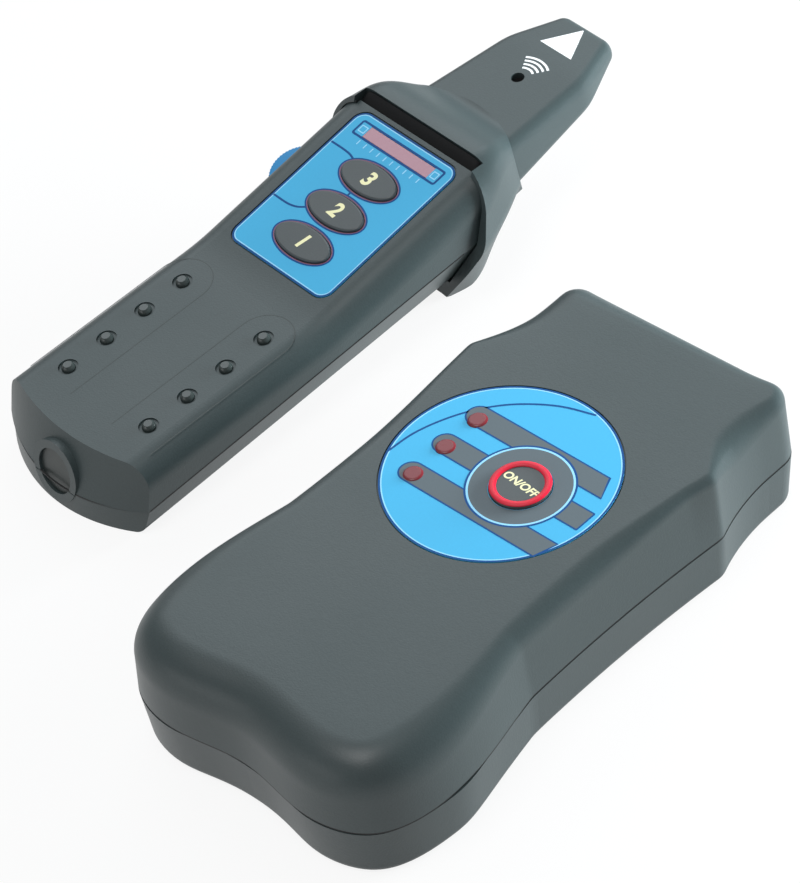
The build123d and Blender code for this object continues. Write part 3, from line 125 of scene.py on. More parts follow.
POINTER_HALF = 5.55
POINTER_BLUNT = 0.03

# Receiver's panel, on the sloping deck from the label's near edge
RX_LABEL_Y = 73.7
RX_LABEL_HALF = 17.8
RX_LABEL_LENGTH = 46.9
RX_LABEL_CORNER = 3.5
RX_KEYS = [(0.3, 9.4), (0.3, 20.7), (0.3, 32.0)]
RX_KEY_HALF = (9.1, 4.4)
RX_KEY_RIMS = (0.2, 0.5, 0.95)
WINDOW_HALF = 14.4
WINDOW_Y0, WINDOW_Y1 = 40.6, 44.2
WINDOW_RIM = 0.6
WINDOW_END_LEFT, WINDOW_END_RIGHT = -11.5, 11.7
WINDOW_FRAME_IN = 0.4
WINDOW_FRAME_LINE = (0.65, 0.35)
TICK_COUNT = 10
TICK_FIRST = -11.0
TICK_PITCH = 2.4
TICK_Y0, TICK_Y1 = 38.2, 39.6
TICK_WIDE = 0.35
GROOVE_Y0, GROOVE_Y1 = 48.5, 51.1
GROOVE_HALF = 21.1
GROOVE_BACK = 1.7
GROOVE_FLOOR = -1.6
SHADE_STRIP_GAP = 0.05
SHADE_STRIP_TUCK = 0.15
SHADE_STRIP_CROWN = 0.25
SHADE_STRIP_SINK = 0.15
WHEEL_AT = (-21.0, 26.0)
WHEEL_TOP = -4.2
WHEEL_THICK = 4.4
WHEEL_R = 8.0
WHEEL_RIDGES = 54
RIDGE_DEEP = 0.4

# Keys and prints
KEY_PROUD = 0.7
BEAD_R = 6.35
BEAD_HALF = 0.85
BEAD_RISE = 0.42
BEAD_SINK = 0.08
BEAD_LIFT = 0.06
INK = 0.012
RIM_DARK = 0.5
RIM_PALE = 0.8
BAR_START = -20.9
BAR_HALF = 2.8
BAR_EDGE = 0.4
BAR_STUB = (14.0, 24.0, 11.9, 17.6)
LINE_WIDE = 0.55
NOSE_PRINT_LIFT = 0.004
PAD_PRINT_LIFT = 0.002
LETTER_TURN = -6
POWER_WORDS_SIZE = 2.95
KEY_NUMBER_SIZE = 5.8
GRAIN_DEEP = 0.12


def turn_x(degrees):
    """Matrix of a turn about the x axis."""
    a = radians(degrees)
    return np.array([[1, 0, 0], [0, cos(a), -sin(a)], [0, sin(a), cos(a)]])


def turn_z(degrees):
    """Matrix of a turn about the z axis."""
    a = radians(degrees)
    return np.array([[cos(a), -sin(a), 0], [sin(a), cos(a), 0], [0, 0, 1]])


RX_LIFT = RX_FOOT_AT_TAIL * cos(radians(RX_PITCH)) - RX_TAIL_FOOT_SET * sin(radians(RX_PITCH))
RX_TURN = turn_z(RX_YAW) @ turn_x(RX_PITCH)
RX_SPOT = np.array([RX_AT[0], RX_AT[1], RX_LIFT])
DECK_TURN = RX_TURN @ turn_x(RX_DECK_RISE)
DECK_Z = RX_TOP_AT_BEND + (RX_LABEL_Y - RX_BEND_Y) * tan(radians(RX_DECK_RISE))
DECK_SPOT = RX_TURN @ np.array([0, RX_LABEL_Y, DECK_Z]) + RX_SPOT


def on_table(points):
    """The transmitter's frame is the shared frame."""
    return points


def on_receiver(points):
    """Receiver's own frame to the shared frame: turned by its pitch and yaw, then moved to its place."""
    return points @ RX_TURN.T + RX_SPOT


def on_deck(points):
    """Deck frame (x across, y from the label's near edge, z off the deck) to the shared frame."""
    return points @ DECK_TURN.T + DECK_SPOT


def on_handle(points):
    """Receiver frame with z measured off the handle's sloping top between tail and bend."""
    slope = (RX_TOP_AT_BEND - RX_TOP_AT_TAIL) / (RX_BEND_Y - RX_TAIL_TOP_SET)
    rise = RX_TOP_AT_TAIL + (points[:, 1] - RX_TAIL_TOP_SET) * slope
    return on_receiver(points + np.stack([0 * rise, 0 * rise, rise], 1))


def eased(values, low, high):
    """Smooth step: 0 below low, 1 above high, a cubic in between."""
    t = np.clip((values - low) / (high - low), 0, 1)
    return t * t * (3 - 2 * t)


def unit(rows):
    """Rows of directions, each divided by its length."""
    return rows / np.linalg.norm(rows, axis=1)[:, None]


def run_along(path):
    """Distance walked along a path up to each of its points."""
    return np.concatenate([[0], np.cumsum(np.linalg.norm(np.diff(path, axis=0), axis=1))])


def points_along(path, run, at):
    """Points of a path at given distances, straight between its own points."""
    return np.stack([np.interp(at, run, path[:, k]) for k in (0, 1)], 1)


def cubic_weights(f):
    """Weights of a cubic piece's first point, first slope, last point and last slope at the share f."""
    return 2 * f**3 - 3 * f**2 + 1, f**3 - 2 * f**2 + f, -2 * f**3 + 3 * f**2, f**3 - f**2


def nose_line(values, y):
    """Straight runs between the nose's stations, with the bends drawn out by an average over the blend length
    to both sides, weighted by a squared cosine."""
    reach = np.linspace(-NOSE_BLEND, NOSE_BLEND, 19)
    weight = np.cos(reach / NOSE_BLEND * pi / 2) ** 2
    runs = np.interp(np.asarray(y)[..., None] + reach, NOSE_Y, values)
    return (runs * weight).sum(-1) / weight.sum()


def on_nose(points):
    """Receiver frame with z measured off the nose's top."""
    rise = nose_line(NOSE_TOP, points[:, 1])
    return on_receiver(points + np.stack([0 * rise, 0 * rise, rise], 1))


# Meshes

def set_down(name, data):
    """An object of the given mesh, lettering, camera or light, put into the scene."""
    made = bpy.data.objects.new(name, data)
    bpy.context.scene.collection.objects.link(made)
    return made


def outward_mesh(name, points, faces):
    """A closed mesh of points in millimetres of the shared frame, its faces turned outwards."""
    mesh = bpy.data.meshes.new(name)
    mesh.from_pydata((np.asarray(points) * MM).tolist(), [], faces)
    work = bmesh.new()
    work.from_mesh(mesh)
    bmesh.ops.recalc_face_normals(work, faces=work.faces[:])
    work.to_mesh(mesh)
    work.free()
    return mesh


def worked_mesh(shown):
    """The mesh that an object shows once its cuts or its lettering are worked out."""
    bpy.context.view_layer.update()
    graph = bpy.context.evaluated_depsgraph_get()
    return bpy.data.meshes.new_from_object(shown.evaluated_get(graph))


def make_piece(name, points, faces, material, body, slot, smooth=True, crease=32):
    """A closed piece of points in millimetres of the shared frame, riding on a body."""
    piece = set_down(name, outward_mesh(name, points, faces))
    finish_mesh(piece.data, material, smooth, crease)
    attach(piece, body)
    return piece


def finish_mesh(mesh, material, smooth, crease):
    """Smooth or flat faces, edges sharper than the crease angle kept sharp, and one material."""
    mesh.polygons.foreach_set("use_smooth", np.full(len(mesh.polygons), smooth))
    if smooth:
        mesh.set_sharp_from_angle(angle=radians(crease))
    mesh.materials.clear()
    mesh.materials.append(material)
    mesh.update()


def cut_holes(piece, cutters, material, crease):
    """Takes round holes out of a closed piece, then puts its finish back on."""
    tools = [set_down("cutter", outward_mesh("cutter", points, faces)) for points, faces in cutters]
    for tool in tools:
        cut = piece.modifiers.new("hole", "BOOLEAN")
        cut.operation = "DIFFERENCE"
        cut.solver = "EXACT"
        cut.object = tool
    mesh = worked_mesh(piece)
    piece.modifiers.clear()
    piece.data = mesh
    for tool in tools:
        bpy.data.objects.remove(tool)
    finish_mesh(mesh, material, True, crease)


def grid_faces(rows, columns, round_rows=False, round_columns=False):
    """Quads of a rows by columns grid of points, joined up where it goes round."""
    last_row = rows if round_rows else rows - 1
    last_column = columns if round_columns else columns - 1
    i, j = np.meshgrid(np.arange(last_row), np.arange(last_column), indexing="ij")
    i1, j1 = (i + 1) % rows, (j + 1) % columns
    quads = np.stack([i * columns + j, i1 * columns + j, i1 * columns + j1, i * columns + j1], -1)
    return quads.reshape(-1, 4).tolist()


def drum(rings):
    """Closed skin over a stack of rings (rows, columns, 3): quads between rings, and a fan to the middle of
    each end."""
    rows, columns = rings.shape[:2]
    count = rows * columns
    points = np.concatenate([rings.reshape(-1, 3), rings[:1].mean(1), rings[-1:].mean(1)])
    k = np.arange(columns)
    after = (k + 1) % columns
    first = np.stack([k, after, np.full(columns, count)], 1)
    last = np.stack([k + count - columns, np.full(columns, count + 1), after + count - columns], 1)
    return points, grid_faces(rows, columns, round_columns=True) + first.tolist() + last.tolist()


def plate(flat, thick):
    """A flat grid (rows, columns, 2) made a thin closed plate from 0 to thick: the grid above, the same
    grid below, and a wall of quads round the grid's rim."""
    rows, columns = flat.shape[:2]
    count = rows * columns
    top = np.concatenate([flat.reshape(-1, 2), np.full((count, 1), thick)], 1)
    low = np.concatenate([flat.reshape(-1, 2), np.zeros((count, 1))], 1)
    faces = grid_faces(rows, columns)
    under = (np.array(faces)[:, ::-1] + count).tolist()
    index = np.arange(count).reshape(rows, columns)
    rim = np.concatenate([index[:-1, 0], index[-1, :-1], index[:0:-1, -1], index[0, :0:-1]])
    after = np.roll(rim, -1)
    wall = np.stack([rim, rim + count, after + count, after], 1).tolist()
    return np.concatenate([top, low]), faces + under + wall


def ring_plate(inner, outer, thick):
    """Two closed outlines of the same point count made a thin closed ring: outer and inner outline,
    above and below, joined by four bands of quads."""
    count = len(inner)
    rows = [(outer, 0.0), (outer, thick), (inner, thick), (inner, 0.0)]
    points = np.concatenate([np.concatenate([p, np.full((count, 1), z)], 1) for p, z in rows])
    return points, grid_faces(4, count, round_rows=True, round_columns=True)


def disc_plate(outline, thick):
    """A closed outline filled as a thin plate: two rings of points, each closed to its middle."""
    flat = np.zeros((len(outline), 1))
    rings = np.stack([np.concatenate([outline, flat], 1), np.concatenate([outline, flat + thick], 1)])
    return drum(rings)


def oval(at, half_x, half_y, count=96):
    """Ellipse: centre plus half widths times cosine and sine of an even angle."""
    a = np.linspace(0, 2 * pi, count, endpoint=False)
    return np.stack([at[0] + half_x * np.cos(a), at[1] + half_y * np.sin(a)], 1)


def rounded_box(x0, x1, y0, y1, corner, count=96):
    """Rounded rectangle: a quarter circle at each corner, joined by straight sides."""
    a = np.linspace(0, 2 * pi, count, endpoint=False) + 1e-6
    cx = np.where(np.cos(a) > 0, x1 - corner, x0 + corner)
    cy = np.where(np.sin(a) > 0, y1 - corner, y0 + corner)
    return np.stack([cx + corner * np.cos(a), cy + corner * np.sin(a)], 1)


def stroke(path, width):
    """A line of the given width along a path: each point moved half the width to both sides of the path."""
    path = np.asarray(path, float)
    way = unit(np.gradient(path, axis=0))
    off = np.stack([-way[:, 1], way[:, 0]], 1) * width / 2
    return np.stack([path + off, path - off], 1)


def bend(points, count=40):
    """Smooth line through a few points: a chain of cubic arcs whose slopes come from the chords beside each
    point."""
    p = np.asarray(points, float)
    slope = np.gradient(p, axis=0)
    t = np.linspace(0, len(p) - 1, count)
    k = np.minimum(t.astype(int), len(p) - 2)
    a, b, c, d = cubic_weights((t - k)[:, None])
    return a * p[k] + b * slope[k] + c * p[k + 1] + d * slope[k + 1]


def round_cutter(centre, along, radius, length, count=64):
    """Round bar for a hole: a circle carried both ways from the centre along the y or z axis."""
    a = np.linspace(0, 2 * pi, count, endpoint=False)
    c, s, flat = radius * np.cos(a), radius * np.sin(a), np.zeros(count)
    ring = np.stack([c, flat, s] if along == "y" else [c, s, flat], 1)
    step = np.array([0, length, 0] if along == "y" else [0, 0, length])
    return drum(np.stack([ring - step / 2, ring + step / 2]) + np.asarray(centre))


def printed(name, made, place, height, material, body, slot):
    """A thin printed shape lifted to a height above the surface that carries it."""
    points, faces = made
    points = points + np.array([0, 0, height])
    make_piece(name, place(points), faces, material, body, slot, smooth=False)


def lettering(name, words, at, size, angle, place, height, material, body, shear, weight):
    """Plain lettering: an outline font filled and given a thin body, centred on a point and turned."""
    curve = bpy.data.curves.new(name, "FONT")
    curve.body = words
    curve.size = size
    curve.align_x = "CENTER"
    curve.align_y = "CENTER"
    curve.extrude = INK / 2
    curve.shear = shear
    curve.offset = weight * size
    curve.resolution_u = 6
    shown = set_down(name, curve)
    mesh = worked_mesh(shown)
    bpy.data.objects.remove(shown)
    points = np.zeros(len(mesh.vertices) * 3)
    mesh.vertices.foreach_get("co", points)
    points = points.reshape(-1, 3) @ turn_z(angle).T
    points += np.array([at[0], at[1], height + INK / 2])
    mesh.vertices.foreach_set("co", (place(points) * MM).astype(np.float32).ravel())
    mesh.update()
    mesh.materials.clear()
    mesh.materials.append(material)
    piece = set_down(name, mesh)
    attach(piece, body)


# Finishes

def tint(red, green, blue):
    """A colour as seen on a screen (0 to 255) as the linear colour that a shader takes."""
    seen = np.array([red, green, blue]) / 255.0
    linear = np.where(seen <= 0.04045, seen / 12.92, ((seen + 0.055) / 1.055) ** 2.4)
    return (*linear.tolist(), 1.0)


def group(name, inputs, outputs):
    """A new shader group with the given inputs and outputs, and its two end nodes."""
    made = bpy.data.node_groups.new(name, "ShaderNodeTree")
    for label, kind, value in inputs:
        made.interface.new_socket(label, in_out="INPUT", socket_type=kind).default_value = value
    for label, kind in outputs:
        made.interface.new_socket(label, in_out="OUTPUT", socket_type=kind)
    return made, made.nodes.new("NodeGroupInput"), made.nodes.new("NodeGroupOutput")


def math_node(tree, work, a, b, clamp=False):
    """One step of arithmetic on two values, each a number or another node's output."""
    made = tree.nodes.new("ShaderNodeMath")
    made.operation = work
    made.use_clamp = clamp
    for socket, value in zip(made.inputs, (a, b)):
        if isinstance(value, (int, float)):
            socket.default_value = value
        else:
            tree.links.new(value, socket)
    return made.outputs[0]


def blend(tree, first, first_share, second, second_share):
    """Two values added, each by its share."""
    a = math_node(tree, "MULTIPLY", first, first_share)
    b = math_node(tree, "MULTIPLY", second, second_share)
    return math_node(tree, "ADD", a, b)


def noise_node(tree, where, scale, detail):
    """Soft noise of the given scale and detail at the given coordinates."""
    made = tree.nodes.new("ShaderNodeTexNoise")
    made.inputs["Scale"].default_value = scale
    made.inputs["Detail"].default_value = detail
    made.inputs["Roughness"].default_value = 0.5
    tree.links.new(where, made.inputs["Vector"])
    return made.outputs["Fac"]


def grain_group():
    """Spark-eroded grain: fine pits and a broad unevenness, as colour change, roughness and height."""
    tree, inside, out = group(
        "moulded_grain",
        [
            ("Colour", "NodeSocketColor", (0.1, 0.1, 0.1, 1)),
            ("Rough", "NodeSocketFloat", 0.45),
            ("Uneven", "NodeSocketFloat", 0.1),
        ],
        [("Colour", "NodeSocketColor"), ("Roughness", "NodeSocketFloat"), ("Height", "NodeSocketFloat")],
    )
    where = tree.nodes.new("ShaderNodeTexCoord").outputs["Object"]
    fine = noise_node(tree, where, 2200.0, 2.0)
    middle = noise_node(tree, where, 420.0, 3.0)
    broad = noise_node(tree, where, 22.0, 4.0)
    level = blend(tree, fine, 0.6, broad, 0.4)
    lift = math_node(tree, "MULTIPLY", math_node(tree, "SUBTRACT", level, 0.5), inside.outputs["Uneven"])
    bright = math_node(tree, "ADD", lift, 1.0)
    scale = tree.nodes.new("ShaderNodeVectorMath")
    scale.operation = "SCALE"
    tree.links.new(inside.outputs["Colour"], scale.inputs[0])
    tree.links.new(bright, scale.inputs["Scale"])
    tree.links.new(scale.outputs["Vector"], out.inputs["Colour"])
    shift = math_node(tree, "MULTIPLY", math_node(tree, "SUBTRACT", broad, 0.5), 0.2)
    tree.links.new(math_node(tree, "ADD", inside.outputs["Rough"], shift, True), out.inputs["Roughness"])
    tree.links.new(blend(tree, fine, 0.7, middle, 0.3), out.inputs["Height"])
    return tree


GRAIN = grain_group()


def finish(name, colour, rough, grain=0.15, uneven=0.25, **plain):
    """A moulded or coated finish: the grain group's colour, roughness and height into one plain shader."""
    made = bpy.data.materials.new(name)
    made.use_nodes = True
    tree = made.node_tree
    shader = tree.nodes["Principled BSDF"]
    use = tree.nodes.new("ShaderNodeGroup")
    use.node_tree = GRAIN
    use.inputs["Colour"].default_value = colour
    use.inputs["Rough"].default_value = rough
    use.inputs["Uneven"].default_value = uneven
    tree.links.new(use.outputs["Colour"], shader.inputs["Base Color"])
    tree.links.new(use.outputs["Roughness"], shader.inputs["Roughness"])
    bump = tree.nodes.new("ShaderNodeBump")
    bump.inputs["Strength"].default_value = grain
    bump.inputs["Distance"].default_value = GRAIN_DEEP * MM
    tree.links.new(use.outputs["Height"], bump.inputs["Height"])
    tree.links.new(bump.outputs["Normal"], shader.inputs["Normal"])
    for socket, value in plain.items():
        shader.inputs[socket.replace("_", " ")].default_value = value
    return made


casing = finish("casing_grain", tint(53, 63, 64), 0.42, 0.4, 0.5)
dark_plastic = finish("dark_plastic", tint(45, 51, 50), 0.4, 0.2)
# Near-black for the parting lines: painted shade of the gap between the casing halves.
painted_seam_shade = finish("painted_seam_shade", tint(14, 15, 15), 0.6, 0.1)
# Near-black for painted shade: the step between deck and collar, and the depth of the sound hole.
painted_shade_black = finish("painted_shade_finish", tint(9, 9, 10), 0.7, 0.6, 0.6, Specular_IOR_Level=0.25)
# Slightly darker than the casing: painted shade of the stud pads' faint steps.
pad_step_shade = finish("pad_step_shade", tint(44, 51, 50), 0.5, 0.1)
stud_black = finish("stud_black", tint(50, 57, 56), 0.16, 0.04)
label_film = finish("label_film", tint(72, 173, 218), 0.55, 0.06, 0.12, Specular_IOR_Level=0.2)
deep_blue = finish("deep_blue_ink", tint(14, 74, 134), 0.55, 0.05, 0.15, Specular_IOR_Level=0.2)
pale_blue = finish("pale_blue_ink", tint(150, 212, 245), 0.55, 0.05, 0.1, Specular_IOR_Level=0.2)
grey_ink = finish("grey_ink", tint(92, 103, 109), 0.55, 0.06, 0.15, Specular_IOR_Level=0.25)
cream_ink = finish("cream_ink", tint(240, 236, 186), 0.45, 0.05, 0.08)
white_ink = finish("white_ink", tint(246, 247, 248), 0.5, 0.05, 0.05)
red_rubber = finish("red_rubber", tint(206, 30, 54), 0.42, 0.05, 0.12, Specular_IOR_Level=0.35)
rim_red = finish("rim_red_ink", tint(120, 70, 92), 0.4, 0.05, 0.15)
key_grey = finish("key_grey", tint(66, 72, 74), 0.42, 0.2)
lamp_red = finish("lamp_red", tint(112, 30, 38), 0.4, 0.02, 0.2, Coat_Weight=0.1)
window_red = finish("window_red", tint(164, 112, 128), 0.2, 0.02, 0.15, Coat_Weight=0.3)
bar_red = finish("bar_red", tint(190, 40, 50), 0.3, 0.05)
board_green = finish("board_green", tint(30, 96, 56), 0.3, 0.1)
black_plastic = finish("black_plastic", tint(30, 31, 32), 0.36, 0.2)
red_plastic = finish("red_plastic", tint(186, 34, 36), 0.34, 0.15)
ferrite = finish("ferrite", tint(62, 62, 64), 0.6, 0.5)
copper = finish("copper", tint(186, 104, 62), 0.28, 0.2, 0.3, Metallic=1.0)
steel = finish("zinc_steel", tint(176, 178, 180), 0.3, 0.1, 0.2, Metallic=1.0)
nickel = finish("nickel", tint(200, 196, 186), 0.25, 0.08, 0.2, Metallic=1.0)
cell_wrap = finish("cell_wrap", tint(44, 58, 92), 0.28, 0.05, 0.3)
wheel_blue = finish("wheel_blue", tint(42, 130, 186), 0.45, 0.15, Specular_IOR_Level=0.3)

NODE_FINISH = {
    "tx_top_shell": casing, "tx_bottom_shell": casing, "tx_battery_door": casing,
    "rx_top_shell": casing, "rx_bottom_shell": casing, "rx_battery_door": casing,
    "rx_collar": casing, "rx_nose": casing, "rx_tail_plug": dark_plastic, "rx_grip_studs": stud_black,
    "tx_label": label_film, "rx_label": label_film, "tx_power_key": key_grey,
    "rx_key_low": key_grey, "rx_key_middle": key_grey, "rx_key_high": key_grey,
    "tx_lamp_output": lamp_red, "tx_lamp_load": lamp_red, "tx_lamp_battery": lamp_red,
    "rx_window": window_red, "rx_bargraph": bar_red, "tx_board": board_green, "rx_board": board_green,
    "tx_key_switch": black_plastic, "rx_key_switches": black_plastic, "rx_buzzer": black_plastic,
    "tx_socket_black": black_plastic, "tx_socket_red": red_plastic, "rx_pot": black_plastic,
    "tx_coil_core": ferrite, "rx_sensor_core": ferrite,
    "tx_coil_winding": copper, "rx_sensor_winding": copper,
    "tx_door_screws": steel, "tx_case_screws": steel, "tx_board_screws": steel, "rx_case_screws": steel,
    "rx_board_screws": steel, "rx_door_screws": steel, "rx_pot_shaft": steel,
    "tx_socket_nuts": nickel, "tx_battery_contacts": nickel, "rx_battery_contacts": nickel,
    "tx_cells": cell_wrap, "rx_cells": cell_wrap, "rx_thumbwheel": wheel_blue,
}
for node, material in NODE_FINISH.items():
    nodes[node].data.materials.clear()
    nodes[node].data.materials.append(material)


# Transmitter's upper casing

def lobe_line(count=240):
    """Smooth curve through the lobe points: cubic pieces with matching slope and bend, timed by chord length,
    leaving straight across at the notch and running up into the waist at the last point."""
    p = np.array(TX_LOBES)
    gap = np.linalg.norm(np.diff(p, axis=0), axis=1)
    start, stop = np.array([1.0, 0.0]), np.array([-0.2, 1.0]) / np.hypot(0.2, 1.0)
    size = len(p)
    left, right = np.zeros((size, size)), np.zeros((size, 2))
    left[0, 0] = left[-1, -1] = 1
    right[0], right[-1] = start, stop
    inner = np.arange(1, size - 1)
    left[inner, inner - 1] = 1 / gap[:-1]
    left[inner, inner] = 2 / gap[:-1] + 2 / gap[1:]
    left[inner, inner + 1] = 1 / gap[1:]
    step = np.diff(p, axis=0)
    right[inner] = 3 * (step[:-1] / gap[:-1, None] ** 2 + step[1:] / gap[1:, None] ** 2)
    slope = np.linalg.solve(left, right)
    knots = np.concatenate([[0], np.cumsum(gap)])
    t = np.linspace(0, knots[-1], count)
    k = np.clip(np.searchsorted(knots, t, side="right") - 1, 0, size - 2)
    f = ((t - knots[k]) / gap[k])[:, None]
    h = gap[k][:, None]
    a, b, c, d = cubic_weights(f)
    return a * p[k] + b * h * slope[k] + c * p[k + 1] + d * h * slope[k + 1]


def arc_through(first, middle, last, count):
    """Circular arc through three points: the circle's centre from the two chords, then an even angle."""
    a, b, c = (np.array(p, float) for p in (first, middle, last))
    rows = 2 * np.stack([b - a, c - a])
    centre = np.linalg.solve(rows, [b @ b - a @ a, c @ c - a @ a])
    ends = [np.arctan2(*(p - centre)[::-1]) for p in (a, c)]
    turn = (ends[1] - ends[0] + pi) % (2 * pi) - pi
    angle = ends[0] + np.linspace(0, 1, count) * turn
    radius = np.linalg.norm(a - centre)
    return centre + radius * np.stack([np.cos(angle), np.sin(angle)], 1)


def soften(path, step, reach):
    """Average of a closed, evenly stepped path over a bell-shaped reach, worked out on its waves."""
    waves = np.fft.rfft(path, axis=0)
    pitch = np.fft.rfftfreq(len(path), step)
    return np.fft.irfft(waves * np.exp(-2 * (pi * pitch * reach) ** 2)[:, None], len(path), axis=0)


def casing_outline(step=0.5):
    """Hourglass outline at the parting line: lobe curve, waist arc, hollow arc, far corner, mirrored, evenly
    stepped; with it the outward direction of the same outline drawn smoother, for insets without folds."""
    corner = np.linspace(0, pi / 2, 24)[:, None]
    bend_at = np.array([TX_END_START[0] - TX_END_CORNER, TX_FAR - TX_END_CORNER])
    round_end = bend_at + TX_END_CORNER * np.concatenate([np.cos(corner), np.sin(corner)], 1)
    half = np.concatenate([
        lobe_line(),
        arc_through(TX_LOBES[-1], TX_WAIST, TX_SHOULDER, 120)[1:],
        arc_through(TX_SHOULDER, TX_HOLLOW, TX_END_START, 60)[1:],
        round_end,
        [[0.0, TX_FAR]],
    ])
    loop = np.concatenate([half, half[-2:0:-1] * [-1, 1], half[:1]])
    run = run_along(loop)
    path = points_along(loop, run, np.linspace(0, run[-1], int(run[-1] / step), endpoint=False))
    smooth = soften(path, step, INSET_SOFT)
    way = unit(np.roll(smooth, -1, 0) - np.roll(smooth, 1, 0))
    return soften(path, step, OUTLINE_SOFT), np.stack([way[:, 1], -way[:, 0]], 1)


outline, outward = casing_outline()


def top_round(x, y):
    """Radius of the casing's top edge: full at the lobes, less along the waist, least at the shoulders, more
    again past them, and along the far edge rising evenly from the right corner to the left one."""
    along = ROUND_LOBE - ROUND_WAIST_LESS * eased(y, -60.0, -18.0) - ROUND_SHOULDER_LESS * eased(y, 4.0, 38.0)
    past = ROUND_PAST_MORE * eased(y, 42.0, 54.0) * eased(x, 16.0, 34.0) * (1 - eased(y, 54.0, 78.0))
    far = ROUND_FAR_MORE * np.clip((34.0 - x) / 66.0, 0, 1) * eased(y, 40.0, 60.0)
    return along + np.maximum(past, far)


def upper_skin():
    """Upper casing as one run of rings. The inner ones go from under the roof down to the parting line, one
    wall in. The outer ones follow: a bevel at the seam, a drafted wall that is steeper at the far right, a
    quarter round whose radius changes along the outline, and the flat top drawn in to the label's recess."""
    x, y = outline.T
    radius = top_round(x, y)
    foot = TX_PARTING + SEAM_BEVEL
    wall_top = TX_TOP - radius
    steeper = TX_FAR_RIGHT_STEEPER * eased(x, 20.0, 34.0) * eased(y, 34.0, 44.0)
    lean = (TX_DRAFT - steeper) / (TX_TOP - TX_PARTING)

    def ring(inset, height):
        """The outline set in, at a height; both may change along it."""
        flat = outline - outward * np.broadcast_to(inset, radius.shape)[:, None]
        return np.concatenate([flat, np.broadcast_to(height, radius.shape)[:, None]], 1)

    rings = [ring(SEAM_BEVEL_IN, TX_PARTING)]
    for share in np.linspace(0, 1, 5):
        height = foot + share * (wall_top - foot)
        rings.append(ring(lean * (height - foot), height))
    drawn = lean * (wall_top - foot)
    for angle in np.linspace(0, pi / 2, 15)[1:]:
        rings.append(ring(drawn + radius * (1 - cos(angle)), wall_top + radius * sin(angle)))
    edge = rings[-1]
    middle = np.array([*TX_LABEL, 0.0])
    way = unit((edge - middle) * [1, 1, 0])
    recess = middle + way * (TX_LABEL_R + TX_LABEL_GAP) + [0, 0, TX_TOP]
    for share in np.linspace(0, 1, 9)[1:]:
        rings.append(edge + (recess - edge) * share)
    rings.append(recess - [0, 0, TX_RECESS_DEEP])
    inner = []
    inside = np.maximum(radius - TX_WALL, INNER_ROUND_LEAST)
    for angle in np.linspace(pi / 2, 0, 5):
        inner.append(ring(drawn + radius - inside * cos(angle), wall_top + inside * sin(angle)))
    inner.append(ring(TX_WALL, TX_PARTING))
    inner[0][:, 2] = inner[0][:, 2].min() - ROOF_BELOW_ROUND
    return drum(np.array(inner + rings))


upper_casing = make_piece("upper_casing", *upper_skin(), casing, "transmitter", "casing",
                          crease=CASING_CREASE)
pockets = [round_cutter((x, TX_FAR, TX_SOCKET_Z), "y", TX_SOCKET_POCKET_R, TX_SOCKET_POCKET_LONG)
           for x in TX_SOCKETS]
cut_holes(upper_casing, pockets, casing, CASING_CREASE)
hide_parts("tx_top_shell")


def seam_band(path, outwards, inset, low, high):
    """Thin dark band of painted shade along a parting line, the shadow of the gap between the halves: a
    four-sided profile, from low to high, carried round the outline a little set in."""
    def ring(depth, height):
        """The outline set in by a depth, at a height."""
        return np.concatenate([path - outwards * depth, np.full((len(path), 1), height)], 1)

    deep = inset + SEAM_DEEP
    rows = np.stack([ring(inset, low), ring(inset, high), ring(deep, high), ring(deep, low)])
    return rows.reshape(-1, 3), grid_faces(4, len(path), round_rows=True, round_columns=True)


# A dark band set into the parting groove paints the shade of the gap between the halves.
casing_seam_shade = seam_band(outline, outward, SEAM_SET_IN, TX_PARTING - SEAM_BELOW, TX_PARTING + SEAM_ABOVE)
make_piece("casing_seam_shade", *casing_seam_shade, painted_seam_shade, "transmitter", "casing")


# Transmitter's round label

def tx_print(name, made, material, layer):
    """A print on the transmitter's top, lifted by whole layers of ink."""
    printed(name, made, on_table, TX_TOP + layer * INK, material, "transmitter", "label")


def label_ring(name, at, inner, outer, material, layer):
    """A printed ring between two circles."""
    inside, outside = oval(at, inner, inner, 160), oval(at, outer, outer, 160)
    tx_print(name, ring_plate(inside, outside, INK), material, layer)


label_ring("label_edge", TX_LABEL, TX_LABEL_R - RIM_DARK, TX_LABEL_R, deep_blue, 0)
label_ring("label_inner_rim", TX_LABEL, TX_LABEL_R - RIM_PALE, TX_LABEL_R - RIM_DARK, pale_blue, 0)


def bar_outline(end_far, end_near, y, grow, count=24):
    """Bar with a half-round left end and a slanted right end: width rises as a circle over the left end."""
    half = BAR_HALF + grow
    u = np.linspace(0, 1, count)
    left = BAR_START - grow + half * (1 - np.cos(u * pi / 2))
    rise = half * np.sin(u * pi / 2)
    low = np.concatenate([np.stack([left, y - rise], 1), [[end_near + grow, y - half]]])
    high = np.concatenate([np.stack([left, y + rise], 1), [[end_far + grow, y + half]]])
    return np.stack([low, high], 1)


BARS = [("bar_far", 19.2, 21.9, 25.2), ("bar_near", 23.7, 21.8, 2.9), ("bar_middle_left", -3.2, -3.2, 14.1)]
for name, end_far, end_near, y in BARS:
    tx_print(name + "_edge", plate(bar_outline(end_far, end_near, y, BAR_EDGE), INK), deep_blue, 1)
    tx_print(name, plate(bar_outline(end_far, end_near, y, 0.0), INK), grey_ink, 2)
x0, x1, y0, y1 = BAR_STUB
stub_edge = rounded_box(x0 - BAR_EDGE, x1 + BAR_EDGE, y0 - BAR_EDGE, y1 + BAR_EDGE, 0.4)
tx_print("bar_middle_right_edge", disc_plate(stub_edge, INK), deep_blue, 1)
tx_print("bar_middle_right", disc_plate(rounded_box(x0, x1, y0, y1, 0.3), INK), grey_ink, 2)

